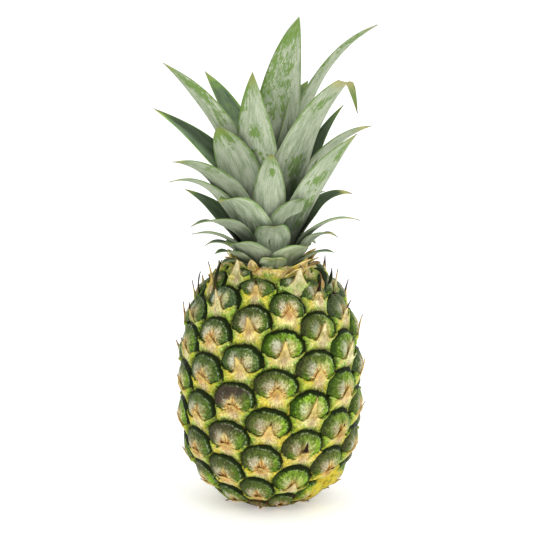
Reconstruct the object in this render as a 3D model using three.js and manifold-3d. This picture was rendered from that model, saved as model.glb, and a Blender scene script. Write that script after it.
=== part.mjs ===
// A whole fresh pineapple standing upright: one fruit and one leafy crown.
// Millimetres, +Z up, the front of the fruit toward -Y. It rests on the flat of its cut stalk at z = 0.
import * as THREE from "three";
import { mergeVertices } from "three/addons/utils/BufferGeometryUtils.js";
import Module from "manifold-3d";

const wasm = await Module();
wasm.setup();

// ---- driving dimensions, in millimetres and degrees ----

const FRUIT_WIDTH = 120;
const EQUATOR_HEIGHT = 78;
const SHOULDER_TOP = 163.5;
const SKIN_DEPTH = 2.4;

// The crown's foot stands in a shallow dimple in the fruit's top.
const DIMPLE = { floor: 157, radius: 21 };

// The side of the body is a superellipse, blunter below its widest ring than above it.
const SIDE_ROUNDNESS = 1 / 2.27;
const UPPER_HALF = { reach: 91, power: 2.6 };
const LOWER_HALF = { reach: 80.3, power: 2.76 };

// Over the shoulder the eyes crowd together: there, heights along the side count for more.
const CROWDING = { above: 72, rate: 0.02 };

// The eyes follow one spiral down the fruit; each is this turn and this fall from the last.
const EYE_TURN = 138.05;
const EYE_FALL = 1.96;
const FIRST_EYE = { angle: 15.1, arc: 69.5 };
const TOP_EYE = -16;
const BOTTOM_EYE = 86;
const LAST_SPINE = 72;
const FRONT_SQUEEZE = 0.08;

// Eyes on the shoulder that grew off the spiral, as their number, and how far aside and how far up.
const STRAY_EYES = new Map([
  [-16, [-5, -2]],
  [-13, [6, -6]],
  [-11, [-4, -4]],
  [-10, [0, -7]],
  [-8, [-4, -1]],
  [-6, [0, -8]],
  [-3, [-7, -2]],
  [2, [-5, -5]],
]);

// The skin's facets run along the steepest rows of eyes, so that each eye has the same ones.
const EYE_ROWS = 13;
const FACETS_PER_EYE = 6;
const BODY_COLUMNS = EYE_ROWS * FACETS_PER_EYE;
const ROW_STEP = 2 * EYE_FALL;
const ROW_DRIFT = (EYE_ROWS * EYE_TURN - 5 * 360) / (EYE_ROWS * EYE_FALL);

// One eye, measured from its middle: a cap above, and below it a bract with two wings and a spine.
const CAP_HALF_WIDTH = 16.1;
const CAP_LINE = -6;
const CAP_UPPER = { reach: 12.6, power: 2.1 };
const CAP_LOWER = { reach: 9, power: 2.6 };
const CAP_BULGE = 3.4;
const BRACT_HEIGHT = 3.2;
const BRACT_WING = -11.5;
const BRACT_FOOT = -22;
const BRACT_LOBE = { dip: 0.9, middle: 6.5, width: 2.8 };
const SPINE = { usual: 9, high: 0.95, low: 0.5, firstEye: 8, lastEye: 60 };
const TOP_SPINE = { length: 11.5, width: 11, lastEye: -5, highestFoot: 88 };
const SPINE_ROOT = 3;
const SPINE_WIDTH = 8;
const SPINE_LEAN = { high: 16, low: 8, upright: 5 };

// The topmost spines, as their eye's number, and their length and width.
const ODD_SPINES = new Map([
  [-16, [11, 18]],
  [-15, [7, 10]],
  [-14, [7, 10]],
  [-13, [12, 22]],
]);

const CROWN_SEAT = DIMPLE.floor + 0.3;
const STEM_PROFILE = [[19, CROWN_SEAT], [18, 164], [16, 175], [13, 190], [9, 205], [4, 218]];
const STEM_SIDES = 18;
const LEAF_THICKNESS = 1.8;
const LEAF_FOOT = 0.66;
const LEAF_ROOT = 6;
const LEAF_SINK = 2;
const BEND_STEPS = 60;
const BACK_LEAVES = 19;
const SEED = 11;

// The leaves that face the front and sides, from the crown's foot upward. Each row holds: the azimuth
// round the stem (0 at the front, + toward +X), the height of its root, its rise above level at the
// root, the middle and the tip, its length, its width, its sideways bend, its twist, and its fullness,
// which is greater where the blade keeps its width nearly to the tip.
const FRONT_LEAVES = [
  [-60, 159, 40, 18, -38, 20, 12, 0, 0, 1.5],
  [-50, 160, 50, 26, -18, 32, 16, 0, 0, 1.6],
  [70, 159, 45, 28, -16, 29, 15, 0, 0, 1.6],
  [5, 159, 62, 42, 12, 16, 18, 0, 0, 2.2],
  [-31, 160, 65, 32, -7, 41, 28, 0, 0, 1.8],
  [35, 160, 65, 37, 3, 31, 26, 0, 0, 2.0],
  [-86, 162, 59, 29, -38, 30, 15, 0, 0, 1.6],
  [-85, 165, 65, 23, -11, 40, 18, 0, 10, 1.6],
  [74, 162, 57, 43, -39, 37, 20, 0, -8, 1.8],
  [-55, 171, 64, 24, -21, 53, 22, -1, 10, 1.6],
  [81, 167, 63, 32, -19, 52, 20, 0, -8, 1.6],
  [4, 170, 82, 62, -8, 26, 24, 1, 0, 2.3],
  [-37, 173, 77, 49, -18, 56, 30, -1, 0, 1.8],
  [31, 174, 80, 57, 17, 44, 25, 1, 0, 2.2],
  [-101, 165, 72, 47, 24, 60, 20, -1, -20, 1.5],
  [93, 169, 72, 53, -16, 58, 18, 1, 25, 1.5],
  [-72, 171, 70, 48, -16, 76, 21, 0, 14, 1.6],
  [53, 172, 75, 56, 40, 95, 26, 0, -14, 1.5],
  [-58, 177, 73, 47, 2, 84, 24, -1, 22, 1.7],
  [-3, 175, 78, 68, 40, 71, 22, 5, 0, 2.0],
  [-110, 184, 80, 51, 45, 70, 18, 0, -15, 1.5],
  [98, 182, 74, 57, 9, 91, 20, 1, -42, 1.5],
  [105, 184, 76, 68, 47, 88, 17, 0, 25, 1.5],
  [-95, 186, 79, 48, 31, 101, 24, -1, -28, 1.5],
  [-54, 182, 79, 69, 62, 76, 33, 0, 22, 4.0],
  [-25, 193, 84, 72, 92, 98, 29, 4, 0, 1.9],
  [-72, 196, 80, 58, 37, 117, 23, 0, 30, 1.6],
  [-130, 198, 82, 61, 44, 99, 30, 0, 0, 1.7],
  [92, 200, 84, 67, 25, 136, 21, 0, -30, 1.6],
  [16, 204, 87, 78, 56, 124, 31, 7, 0, 1.9],
  [55, 206, 86, 80, 77, 80, 20, 0, 10, 1.6],
  [-80, 209, 87, 80, 72, 54, 17, 0, 0, 1.6],
  [150, 210, 87, 82, 78, 80, 18, 0, 0, 1.6],
  [20, 212, 88, 84, 82, 52, 14, 0, 0, 1.6],
];

// One long leaf at the right is broken over: its last stretch hangs from a sharp fold.
const FOLDED_LEAF = { row: [46, 184, 88, 59, 22, 137, 33, 1, -6, 1.1], foldAt: 0.82, hang: -97 };

// ---- small helpers ----

const radians = THREE.MathUtils.degToRad;
const clamp = THREE.MathUtils.clamp;
const lerp = THREE.MathUtils.lerp;

// A repeatable draw from 0 to 1 for each pair of whole numbers.
function draw(index, salt) {
  const wave = Math.sin(index * 127.1 + salt * 311.7 + SEED * 74.7) * 43758.5453;
  return wave - Math.floor(wave);
}

function toManifold(geometry) {
  const bare = geometry.index ? geometry.clone() : geometry;
  bare.deleteAttribute("normal");
  bare.deleteAttribute("uv");
  const merged = mergeVertices(bare, 1e-5);
  const corners = merged.index.array;
  const kept = [];
  for (let i = 0; i < corners.length; i += 3) {
    const [a, b, c] = [corners[i], corners[i + 1], corners[i + 2]];
    if (a !== b && b !== c && c !== a) kept.push(a, b, c);
  }
  const vertProperties = new Float32Array(merged.attributes.position.array);
  return new wasm.Manifold(new wasm.Mesh({ numProp: 3, vertProperties, triVerts: new Uint32Array(kept) }));
}

// Joins solids into one body: a hollow that the join seals is filled, and a loose scrap is dropped.
function fuse(solids) {
  const joined = solids.reduce((whole, next) => whole.add(next));
  const pieces = joined.decompose();
  return pieces.reduce((best, piece) => (piece.volume() > best.volume() ? piece : best));
}

function toMesh(solid, name, material) {
  const { vertProperties, triVerts } = solid.getMesh();
  const geometry = new THREE.BufferGeometry();
  geometry.setAttribute("position", new THREE.BufferAttribute(new Float32Array(vertProperties), 3));
  geometry.setIndex(new THREE.BufferAttribute(new Uint32Array(triVerts), 1));
  geometry.computeVertexNormals();
  const mesh = new THREE.Mesh(geometry, material);
  mesh.name = name;
  return mesh;
}

// ---- the fruit's body ----

function bodyRadius(z) {
  const half = z > EQUATOR_HEIGHT ? UPPER_HALF : LOWER_HALF;
  const share = Math.abs(z - EQUATOR_HEIGHT) / half.reach;
  return (FRUIT_WIDTH / 2) * (1 - share ** half.power) ** SIDE_ROUNDNESS;
}

// The side from the base flat to the shoulder's top, as fine points. Each holds its radius, height,
// outward direction, and distance along the side above the widest ring, as the eyes count it.
function sideProfile() {
  const points = [];
  let arc = 0;
  for (let z = 0; z <= SHOULDER_TOP; z += 0.25) {
    const radius = bodyRadius(z);
    const last = points.at(-1);
    const outward = new THREE.Vector2(1, 0);
    if (last) {
      arc += Math.hypot(radius - last.radius, z - last.z);
      outward.set(z - last.z, last.radius - radius).normalize();
    }
    points.push({ radius, z, arc, outward });
  }
  points[0].outward = points[1].outward;
  const equator = points.find((point) => point.z >= EQUATOR_HEIGHT).arc;
  for (const point of points) {
    point.arc -= equator;
    point.arc += CROWDING.rate * Math.max(point.arc - CROWDING.above, 0) ** 2;
  }
  return points;
}

const SIDE = sideProfile();

function sideAt(arc) {
  const upper = SIDE.findIndex((point) => point.arc >= arc);
  if (upper < 1) return upper === 0 ? SIDE[0] : SIDE.at(-1);
  const [a, b] = [SIDE[upper - 1], SIDE[upper]];
  const share = (arc - a.arc) / (b.arc - a.arc);
  const outward = a.outward.clone().lerp(b.outward, share);
  return { radius: lerp(a.radius, b.radius, share), z: lerp(a.z, b.z, share), arc, outward };
}

// The heights of the body's rings: both ends of the side, and steps between them that fall on the eyes.
function ringArcs() {
  const arcs = [SIDE[0].arc];
  const first = Math.ceil((SIDE[0].arc - FIRST_EYE.arc) / ROW_STEP + 0.3);
  for (let step = first; FIRST_EYE.arc + step * ROW_STEP < SIDE.at(-1).arc - ROW_STEP; step += 1) {
    arcs.push(FIRST_EYE.arc + step * ROW_STEP);
  }
  return [...arcs, SIDE.at(-1).arc];
}

// ---- the eyes ----

function wrapDegrees(angle) {
  return angle - 360 * Math.round(angle / 360);
}

// The eyes crowd a little at the front, as the fruit grew.
function squeeze(angle) {
  return angle - THREE.MathUtils.radToDeg(FRONT_SQUEEZE * Math.sin(radians(angle)));
}

// The azimuth in degrees, before the squeeze, and the arc height of eye number k down the spiral.
function eyePlace(k) {
  const [aside, up] = STRAY_EYES.get(k) ?? [0, 0];
  const angle = FIRST_EYE.angle + k * EYE_TURN + THREE.MathUtils.radToDeg(aside / (FRUIT_WIDTH / 2));
  return { angle: wrapDegrees(angle), arc: FIRST_EYE.arc - k * EYE_FALL + up };
}

// Height of the bract's upper edge in its eye, at x across.
function wingEdge(x) {
  const outer = Math.max(Math.abs(x) - 7.5, 0) / 7.5;
  const inner = clamp(7.5 - Math.abs(x), 0, 5) / 5;
  const lobe = BRACT_LOBE.dip * Math.exp(-(((Math.abs(x) - BRACT_LOBE.middle) / BRACT_LOBE.width) ** 2));
  return BRACT_WING + 2.6 * outer ** 2 + 2.4 * inner ** 2 - lobe;
}

// Height of one eye over the grooves: a rounded cap, and below it a bract that ramps up to a free edge.
// x is across and y is up the side, both from the eye's middle.
function eyeHeight(x, y) {
  const half = y > CAP_LINE ? CAP_UPPER : CAP_LOWER;
  const across = (Math.abs(x) / CAP_HALF_WIDTH) ** half.power;
  const share = across + (Math.abs(y - CAP_LINE) / half.reach) ** half.power;
  const cap = share < 1 ? CAP_BULGE * (1 - share) ** 0.55 : 0;
  const wing = wingEdge(x);
  const ramp = clamp((y - BRACT_FOOT) / (wing - BRACT_FOOT), 0, 1);
  const halfWidth = lerp(5, 15.5, ramp);
  const side = clamp((halfWidth - Math.abs(x)) / 3.5, 0, 1);
  if (y > wing) return cap;
  return Math.max(share < 1 ? cap - 2 : 0, BRACT_HEIGHT * ramp ** 0.8 * side);
}

// Height of the skin over its grooves at any place: the highest of the eyes that reach it.
function skinHeight(angle, arc) {
  const nearest = Math.round((FIRST_EYE.arc - arc) / EYE_FALL);
  let height = 0;
  for (let k = nearest - 10; k <= nearest + 14; k += 1) {
    if (k < TOP_EYE || k > BOTTOM_EYE) continue;
    const eye = eyePlace(k);
    const x = radians(wrapDegrees(angle - eye.angle)) * (FRUIT_WIDTH / 2);
    height = Math.max(height, eyeHeight(x, arc - eye.arc));
  }
  return height;
}

// The body is turned as a plain lathe form, and each of its side points is then moved to the skin.
function bodySolid() {
  const rings = ringArcs().map(sideAt);
  const outline = [new THREE.Vector2(0, 0)];
  for (const { radius, z } of rings) outline.push(new THREE.Vector2(radius, z));
  outline.push(new THREE.Vector2(DIMPLE.radius, DIMPLE.floor), new THREE.Vector2(0, DIMPLE.floor));
  const geometry = new THREE.LatheGeometry(outline, BODY_COLUMNS);
  geometry.rotateX(Math.PI / 2);
  const position = geometry.attributes.position;
  for (let i = 0; i < position.count; i += 1) {
    const ring = rings[(i % outline.length) - 1];
    if (!ring) continue;
    const column = Math.floor(i / outline.length) % BODY_COLUMNS;
    const drift = (FIRST_EYE.arc - ring.arc) * ROW_DRIFT;
    const even = wrapDegrees(FIRST_EYE.angle + drift + (column * 360) / BODY_COLUMNS);
    const turn = radians(squeeze(even));
    const small = Math.sqrt(ring.radius / (FRUIT_WIDTH / 2));
    const lift = ring === rings[0] ? 0 : skinHeight(even, ring.arc) * small - SKIN_DEPTH;
    const out = ring.radius + lift * ring.outward.x;
    const height = ring.z + lift * ring.outward.y;
    position.setXYZ(i, out * Math.sin(turn), -out * Math.cos(turn), height);
  }
  return toManifold(geometry);
}

// A flat pointed spine with its foot sunk in the skin, leaning out from the fruit's side.
function spineSolid(angle, arc, length, width, slant) {
  const { radius, z, outward } = sideAt(arc);
  const lean = Math.max(slant, THREE.MathUtils.radToDeg(Math.asin(outward.y)) + SPINE_LEAN.upright);
  const spine = new THREE.ConeGeometry(width / 2, length, 3);
  spine.scale(1, 1, 0.4);
  spine.translate(0, length / 2, 0);
  const up = new THREE.Vector3(-outward.y, 0, outward.x);
  const out = new THREE.Vector3(outward.x, 0, outward.y);
  const along = up.multiplyScalar(Math.cos(radians(lean))).addScaledVector(out, Math.sin(radians(lean)));
  const across = new THREE.Vector3(0, 1, 0);
  const face = new THREE.Vector3().crossVectors(across, along);
  const foot = out.multiplyScalar(-1.6).add(new THREE.Vector3(radius, 0, z));
  spine.applyMatrix4(new THREE.Matrix4().makeBasis(across, along, face).setPosition(foot));
  spine.rotateZ(radians(squeeze(angle) - 90));
  return toManifold(spine);
}

// The length and width of a spine. Spines shorten toward the base, and the top rows' are long.
function spineSize(k) {
  if (ODD_SPINES.has(k)) return ODD_SPINES.get(k);
  if (k <= TOP_SPINE.lastEye) return [TOP_SPINE.length, TOP_SPINE.width];
  const drop = THREE.MathUtils.smoothstep(k, SPINE.firstEye, SPINE.lastEye);
  return [SPINE.usual * lerp(SPINE.high, SPINE.low, drop) * (0.7 + 0.5 * draw(k, 1)), SPINE_WIDTH];
}

// Every bract's spine starts at its wings' edge.
function spineSolids() {
  const spines = [];
  for (let k = TOP_EYE; k <= LAST_SPINE; k += 1) {
    const { angle, arc } = eyePlace(k);
    const [length, width] = spineSize(k);
    const foot = Math.min(arc + BRACT_WING - SPINE_ROOT, TOP_SPINE.highestFoot);
    const lean = lerp(SPINE_LEAN.low, SPINE_LEAN.high, THREE.MathUtils.smoothstep(arc, 20, 60));
    spines.push(spineSolid(angle, foot, SPINE_ROOT + length, width, lean));
  }
  return spines;
}

// ---- the crown ----

function stemRadius(z) {
  const upper = Math.max(STEM_PROFILE.findIndex((point) => point[1] >= z), 1);
  const [low, high] = [STEM_PROFILE[upper - 1], STEM_PROFILE[upper]];
  return lerp(low[0], high[0], clamp((z - low[1]) / (high[1] - low[1]), 0, 1));
}

function stemSolid() {
  const outline = [new THREE.Vector2(0, CROWN_SEAT)];
  for (const [radius, z] of STEM_PROFILE) outline.push(new THREE.Vector2(radius, z));
  outline.push(new THREE.Vector2(0, STEM_PROFILE.at(-1)[1] + 3));
  const geometry = new THREE.LatheGeometry(outline, STEM_SIDES);
  geometry.rotateX(Math.PI / 2);
  return toManifold(geometry);
}

// A leaf's rise above level at a share t of its length: a smooth bend through three stated angles.
function riseAt(row, t) {
  const [, , root, middle, tip] = row;
  return root * (1 - t) * (1 - 2 * t) + 4 * middle * t * (1 - t) + tip * t * (2 * t - 1);
}

function leafHalfWidth(width, fullness, t) {
  const taper = clamp((t - 0.35) / 0.65, 0, 1);
  const opening = lerp(LEAF_FOOT, 1, Math.sin(clamp(t / 0.35, 0, 1) * (Math.PI / 2)));
  const shape = t < 0.35 ? opening : (1 - taper ** fullness) ** 0.9;
  return Math.max((width / 2) * shape, 0.3);
}

// The midline of a leaf as frames at even shares of its length: place, direction, across and inner face.
function leafFrames(row, fold, count) {
  const [azimuth, height, , , , length, , sideBend, twist] = row;
  const turn = radians(azimuth);
  const out = new THREE.Vector3(Math.sin(turn), -Math.cos(turn), 0);
  const side = new THREE.Vector3(Math.cos(turn), Math.sin(turn), 0);
  const place = out.clone().multiplyScalar(stemRadius(height)).setZ(height);
  const frames = [];
  for (let step = 0; step <= BEND_STEPS; step += 1) {
    const t = step / BEND_STEPS;
    const folded = fold ? clamp((t - fold.foldAt) / 0.05, 0, 1) * fold.hang : 0;
    const rise = radians(riseAt(row, t) + folded);
    const bend = radians(sideBend * t);
    const roll = radians(twist * Math.min(1, 2 * t));
    const level = out.clone().multiplyScalar(Math.cos(rise)).setZ(Math.sin(rise));
    const along = level.clone().multiplyScalar(Math.cos(bend)).addScaledVector(side, Math.sin(bend));
    const flat = side.clone().multiplyScalar(Math.cos(bend)).addScaledVector(level, -Math.sin(bend));
    const inner = new THREE.Vector3().crossVectors(along, flat);
    const across = flat.clone().multiplyScalar(Math.cos(roll)).addScaledVector(inner, Math.sin(roll));
    inner.multiplyScalar(Math.cos(roll)).addScaledVector(flat, -Math.sin(roll));
    if (step % (BEND_STEPS / count) === 0) frames.push({ t, place: place.clone(), along, across, inner });
    place.addScaledVector(along, length / BEND_STEPS);
  }
  const root = { ...frames[0], place: frames[0].place.clone() };
  root.place.addScaledVector(root.along, -LEAF_ROOT).addScaledVector(out, -LEAF_SINK);
  return [root, ...frames];
}

// The four corners of a leaf's section: a shallow channel, open toward the crown's middle, that is
// thickest along the midrib and thins to its margins.
function leafSection(frame, width, fullness) {
  const half = leafHalfWidth(width, fullness, frame.t);
  const channel = half * lerp(0.5, 0.28, clamp(frame.t / 0.4, 0, 1));
  const corners = [
    [-half, channel],
    [0, 0],
    [half, channel],
    [0, Math.min(LEAF_THICKNESS, half)],
  ];
  return corners.map(([x, y]) =>
    frame.place.clone().addScaledVector(frame.across, x).addScaledVector(frame.inner, y),
  );
}

// Skins a run of sections with equal corner counts and closes both ends.
function loftGeometry(sections) {
  const size = sections[0].length;
  const index = [];
  for (let s = 0; s < sections.length - 1; s += 1) {
    for (let c = 0; c < size; c += 1) {
      const [a, b] = [s * size + c, s * size + ((c + 1) % size)];
      index.push(a, b, b + size, a, b + size, a + size);
    }
  }
  const last = (sections.length - 1) * size;
  for (const [a, b, c] of [[0, 3, 1], [1, 3, 2]]) {
    index.push(a, b, c, last + a, last + c, last + b);
  }
  const geometry = new THREE.BufferGeometry();
  const points = sections.flat().flatMap((point) => point.toArray());
  geometry.setAttribute("position", new THREE.Float32BufferAttribute(points, 3));
  geometry.setIndex(index);
  return geometry;
}

function leafSolid(row, fold) {
  const count = row[5] < 50 ? 4 : 6;
  const frames = leafFrames(row, fold, fold ? 12 : count);
  const sections = frames.map((frame) => leafSection(frame, row[6], row[9]));
  return toManifold(loftGeometry(sections));
}

// The leaves of the back, set by turns of the golden angle and growing taller up the stem.
function backLeafRows() {
  const rows = [];
  for (let i = 0; i < BACK_LEAVES; i += 1) {
    const up = i / (BACK_LEAVES - 1);
    const spread = ((i * 0.618034) % 1) - 0.5;
    const azimuth = 180 + spread * 94 + 6 * (draw(i, 2) - 0.5);
    const root = lerp(58, 86, up);
    const middle = lerp(26, 66, up) + 8 * (draw(i, 3) - 0.5);
    const tip = lerp(-34, 32, up) + 20 * (draw(i, 4) - 0.5);
    const length = lerp(32, 84, up ** 0.8) * (0.9 + 0.2 * draw(i, 5));
    const width = lerp(17, 28, Math.sqrt(up));
    const twist = 16 * (draw(i, 6) - 0.5);
    rows.push([azimuth, lerp(160, 203, up), root, middle, tip, length, width, 0, twist, 1.6]);
  }
  return rows;
}

function crownSolid() {
  const leaves = [...FRONT_LEAVES, ...backLeafRows()].map((row) => leafSolid(row));
  leaves.push(leafSolid(FOLDED_LEAF.row, FOLDED_LEAF));
  const below = new THREE.BoxGeometry(200, 200, 40);
  below.translate(0, 0, CROWN_SEAT - 20);
  const whole = [stemSolid(), ...leaves].reduce((sum, leaf) => sum.add(leaf));
  return fuse([whole.subtract(toManifold(below))]);
}

// ---- the object ----

const fruitSkin = new THREE.MeshStandardMaterial({ color: 0x747f3a, roughness: 0.6, metalness: 0 });
const crownLeaf = new THREE.MeshStandardMaterial({ color: 0x93a78a, roughness: 0.65, metalness: 0 });

const group = new THREE.Group();
group.add(toMesh(fuse([bodySolid(), ...spineSolids()]), "fruit", fruitSkin));
group.add(toMesh(crownSolid(), "crown", crownLeaf));

export default group;
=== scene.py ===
"""A whole fresh pineapple with its crown, finished over the frame of its plain solids.

It is laid out as an add-on and run as a script: main() registers the panel and the operators, and
then calls the operators in order. Lengths are metres and +Z is up, with the front toward -Y.
"""

import math

import bmesh
import bpy
import numpy as np
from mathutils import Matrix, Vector


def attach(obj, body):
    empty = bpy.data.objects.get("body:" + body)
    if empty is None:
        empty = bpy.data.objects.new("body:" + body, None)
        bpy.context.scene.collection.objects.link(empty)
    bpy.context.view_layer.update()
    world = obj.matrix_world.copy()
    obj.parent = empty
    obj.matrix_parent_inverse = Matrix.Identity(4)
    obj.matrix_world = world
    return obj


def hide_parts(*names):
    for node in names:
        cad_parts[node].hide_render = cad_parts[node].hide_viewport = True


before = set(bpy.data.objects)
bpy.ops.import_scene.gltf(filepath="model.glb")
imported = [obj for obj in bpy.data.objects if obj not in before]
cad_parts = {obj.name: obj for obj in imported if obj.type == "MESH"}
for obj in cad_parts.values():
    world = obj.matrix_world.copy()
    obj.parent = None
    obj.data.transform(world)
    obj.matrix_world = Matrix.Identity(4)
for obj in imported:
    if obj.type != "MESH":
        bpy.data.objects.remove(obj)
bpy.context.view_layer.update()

bl_info = {
    "name": "Pineapple",
    "version": (1, 0, 0),
    "blender": (4, 5, 0),
    "location": "3D View > Sidebar > Pineapple",
    "description": "Makes the rind, the bracts, the crown and the stage of a whole fresh pineapple",
    "category": "Add Mesh",
}

MM = 0.001
SEED = 11


# ---- sizes and colours that a user would change ----


def tone(code):
    """The linear colour of a six-digit hexadecimal paint code."""
    levels = [int(code[i : i + 2], 16) / 255 for i in (0, 2, 4)]
    linear = [v / 12.92 if v <= 0.04045 else ((v + 0.055) / 1.055) ** 2.4 for v in levels]
    return (*linear, 1.0)


def length(name, description, default):
    return bpy.props.FloatProperty(
        name=name, description=description, default=default, subtype="DISTANCE", unit="LENGTH"
    )


def paint(name, description, code):
    return bpy.props.FloatVectorProperty(
        name=name, description=description, default=tone(code), size=4, subtype="COLOR", min=0, max=1
    )


def amount(name, description, default):
    return bpy.props.FloatProperty(name=name, description=description, default=default)


class PineappleFruitSizes(bpy.types.PropertyGroup):
    """The body's form and the spiral of its eyes."""

    width: length("Width", "The body's widest ring, over its eyes", 0.120)
    equator: length("Widest height", "How high the widest ring stands over the base", 0.078)
    upper_reach: length("Upper reach", "From the widest ring to where the upper side would close", 0.091)
    lower_reach: length("Lower reach", "From the widest ring to where the lower side would close", 0.0803)
    shoulder_top: length("Shoulder top", "Where the side gives way to the dimple under the crown", 0.1635)
    dimple_floor: length("Dimple floor", "Height of the flat that the crown stands on", 0.157)
    dimple_radius: length("Dimple radius", "Radius of that flat", 0.021)
    skin_depth: length("Skin depth", "How far the grooves lie inside the body's outline", 0.0026)
    eye_turn: amount("Eye turn", "Turn from each eye to the next, in degrees", 138.05)
    eye_fall: length("Eye fall", "Fall along the side from each eye to the next", 0.00196)
    first_angle: amount("First eye angle", "Azimuth of eye number 0, in degrees", 15.1)
    first_arc: length("First eye height", "Height of eye number 0 along the side", 0.0695)
    squeeze: amount("Front squeeze", "How much the eyes crowd together at the front", 0.08)


class PineappleEyeSizes(bpy.types.PropertyGroup):
    """One eye at the widest ring: a cap above, and a star-shaped bract with a spine below it."""

    cap_half_width: length("Cap half width", "From the spine's line to the cap's side", 0.0163)
    cap_line: length("Cap line", "Height of the cap's widest line in the eye", -0.006)
    cap_rise: length("Cap rise", "From the cap's widest line to its top", 0.0126)
    cap_drop: length("Cap drop", "From the cap's widest line to its foot", 0.009)
    cap_height: length("Cap height", "How far the cap stands over the grooves", 0.0034)
    wing: length("Wing line", "Height in the eye of the bract's upper edge under each lobe", -0.0115)
    spine: length("Spine", "How far a usual spine stands over the bract's edge", 0.009)
    bract_foot: length("Bract foot", "Where the bract runs out below", -0.022)
    bract_middle: length("Bract middle", "Height in the eye of the bract's middle", -0.0135)
    bract_height: length("Bract height", "How far the bract's edge stands over the grooves", 0.0034)


class PineappleCrownSizes(bpy.types.PropertyGroup):
    """The leafy stem on top."""

    thickness: length("Leaf thickness", "A leaf's thickness along its midrib", 0.0011)
    back_leaves: bpy.props.IntProperty(name="Back leaves", description="Leaves set by turns", default=19)


class PineappleStageSizes(bpy.types.PropertyGroup):
    """The floor, the lights and the camera."""

    camera_distance: length("Camera distance", "From the lens to the fruit's core", 1.2)
    camera_rise: amount("Camera rise", "Angle of the view above level, in degrees", 14.0)
    camera_pitch: amount("Camera pitch", "How far the lens looks down, in degrees", 10.22)
    camera_yaw: amount("Camera yaw", "How far the lens looks aside, in degrees", -0.12)
    lens: amount("Lens", "Focal length in millimetres", 121.5)


class PineapplePalette(bpy.types.PropertyGroup):
    """The colours of the rind, the bracts, the leaves and the floor, with the painted highlights and painted
    shade laid over them.
    """

    # Partly painted shade: the deep lines are darkened further where shade falls in the grooves.
    groove_and_shade: paint("Groove", "Deep lines between the eyes", "1c2508")
    # Also the painted shadow under the lobes' lower edge.
    cap_rim: paint("Cap rim", "Near-black green round each cap", "172205")
    cap_deep: paint("Cap deep", "Dark green inside the rim", "2f4a0a")
    cap_green: paint("Cap green", "The cap's middle tone", "5a7817")
    cap_slate: paint("Cap slate", "Dull blue-green of the older caps", "42543a")
    # Also laid on as painted highlight over the lobes and just inside the dark rim.
    cap_bloom_and_highlight: paint("Cap bloom", "Waxy pale grey-green on the cap's lobes", "c6cdb2")
    # Painted highlight: the palest glints on the lobes.
    cap_highlight: paint("Cap glint", "The palest streaks of the bloom", "e2e5cc")
    # Laid on each cap's right side: partly the cap's own fresher green, partly painted light from the right.
    cap_fresh: paint("Cap fresh", "Brighter yellow-green on ripe caps", "7fa528")
    cap_lime: paint("Cap lime", "Bloom over the brighter green", "d2cf74")
    cap_brown: paint("Cap brown", "Purple-brown on weathered caps", "46352c")
    bract_cream: paint("Bract cream", "The bract's ground where it is ripe", "f0da8c")
    bract_white: paint("Bract white", "Fine fibres on the bract", "f6ecc0")
    bract_pale: paint("Bract pale", "The bract's ground where it is unripe", "d2da80")
    spine_gold: paint("Spine gold", "Lines and edges of the spines", "d9ae40")
    bract_pink: paint("Bract pink", "The bract's dull pinkish middle", "dcc09a")
    bract_yellow: paint("Bract yellow", "The bract's wings", "dcc63e")
    bract_green: paint("Bract green", "Toward the bract's foot", "74a626")
    bract_tan: paint("Bract tan", "Round the spine's foot", "dc8c34")
    bract_brown: paint("Bract brown", "Dry lines and freckles", "80481e")
    spine_tip: paint("Spine tip", "The dry end of a spine", "26160b")
    leaf_pale: paint("Leaf pale", "Bloom on the leaves' outer faces", "bcc4aa")
    leaf_grey: paint("Leaf grey", "Under the bloom", "90a07e")
    leaf_green: paint("Leaf green", "Rubbed patches, margins and tips", "64862f")
    leaf_yellow: paint("Leaf yellow", "Dying tips", "bfb877")
    leaf_shadow: paint("Leaf shadow", "Streaks on the leaves' inner faces", "5c6e52")
    leaf_dark: paint("Leaf dark", "The leaves' inner faces", "3a4934")
    # Painted shade: the leaves' feet, darkened where they go down between the others.
    leaf_foot_shade: paint("Leaf deep", "The leaves' feet, down between the others", "1f291a")
    leaf_dry: paint("Leaf dry", "Dry tips", "6d4a2c")
    floor: paint("Floor", "The plain pale floor", "fbfbfb")


GROUPS = {
    "pineapple_fruit": PineappleFruitSizes,
    "pineapple_eye": PineappleEyeSizes,
    "pineapple_crown": PineappleCrownSizes,
    "pineapple_stage": PineappleStageSizes,
    "pineapple_palette": PineapplePalette,
}


# ---- arithmetic ----


def draw(index, salt):
    """A repeatable draw from 0 to 1 for each pair of whole numbers."""
    wave = np.sin(index * 127.1 + salt * 311.7 + SEED * 74.7) * 43758.5453
    return wave - np.floor(wave)


def wrap(angle):
    """The same angle between -180 and 180 degrees."""
    return angle - 360 * np.round(angle / 360)


def smooth(value, low, high):
    """0 below low and 1 above high, with an eased ramp between."""
    share = np.clip((value - low) / (high - low), 0, 1)
    return share * share * (3 - 2 * share)


def lerp(a, b, share):
    return a + (b - a) * share


def bump(value, middle, width):
    """A bell of height 1 round the middle."""
    return np.exp(-(((value - middle) / width) ** 2))


# ---- the fruit's side and the spiral of its eyes ----


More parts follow.
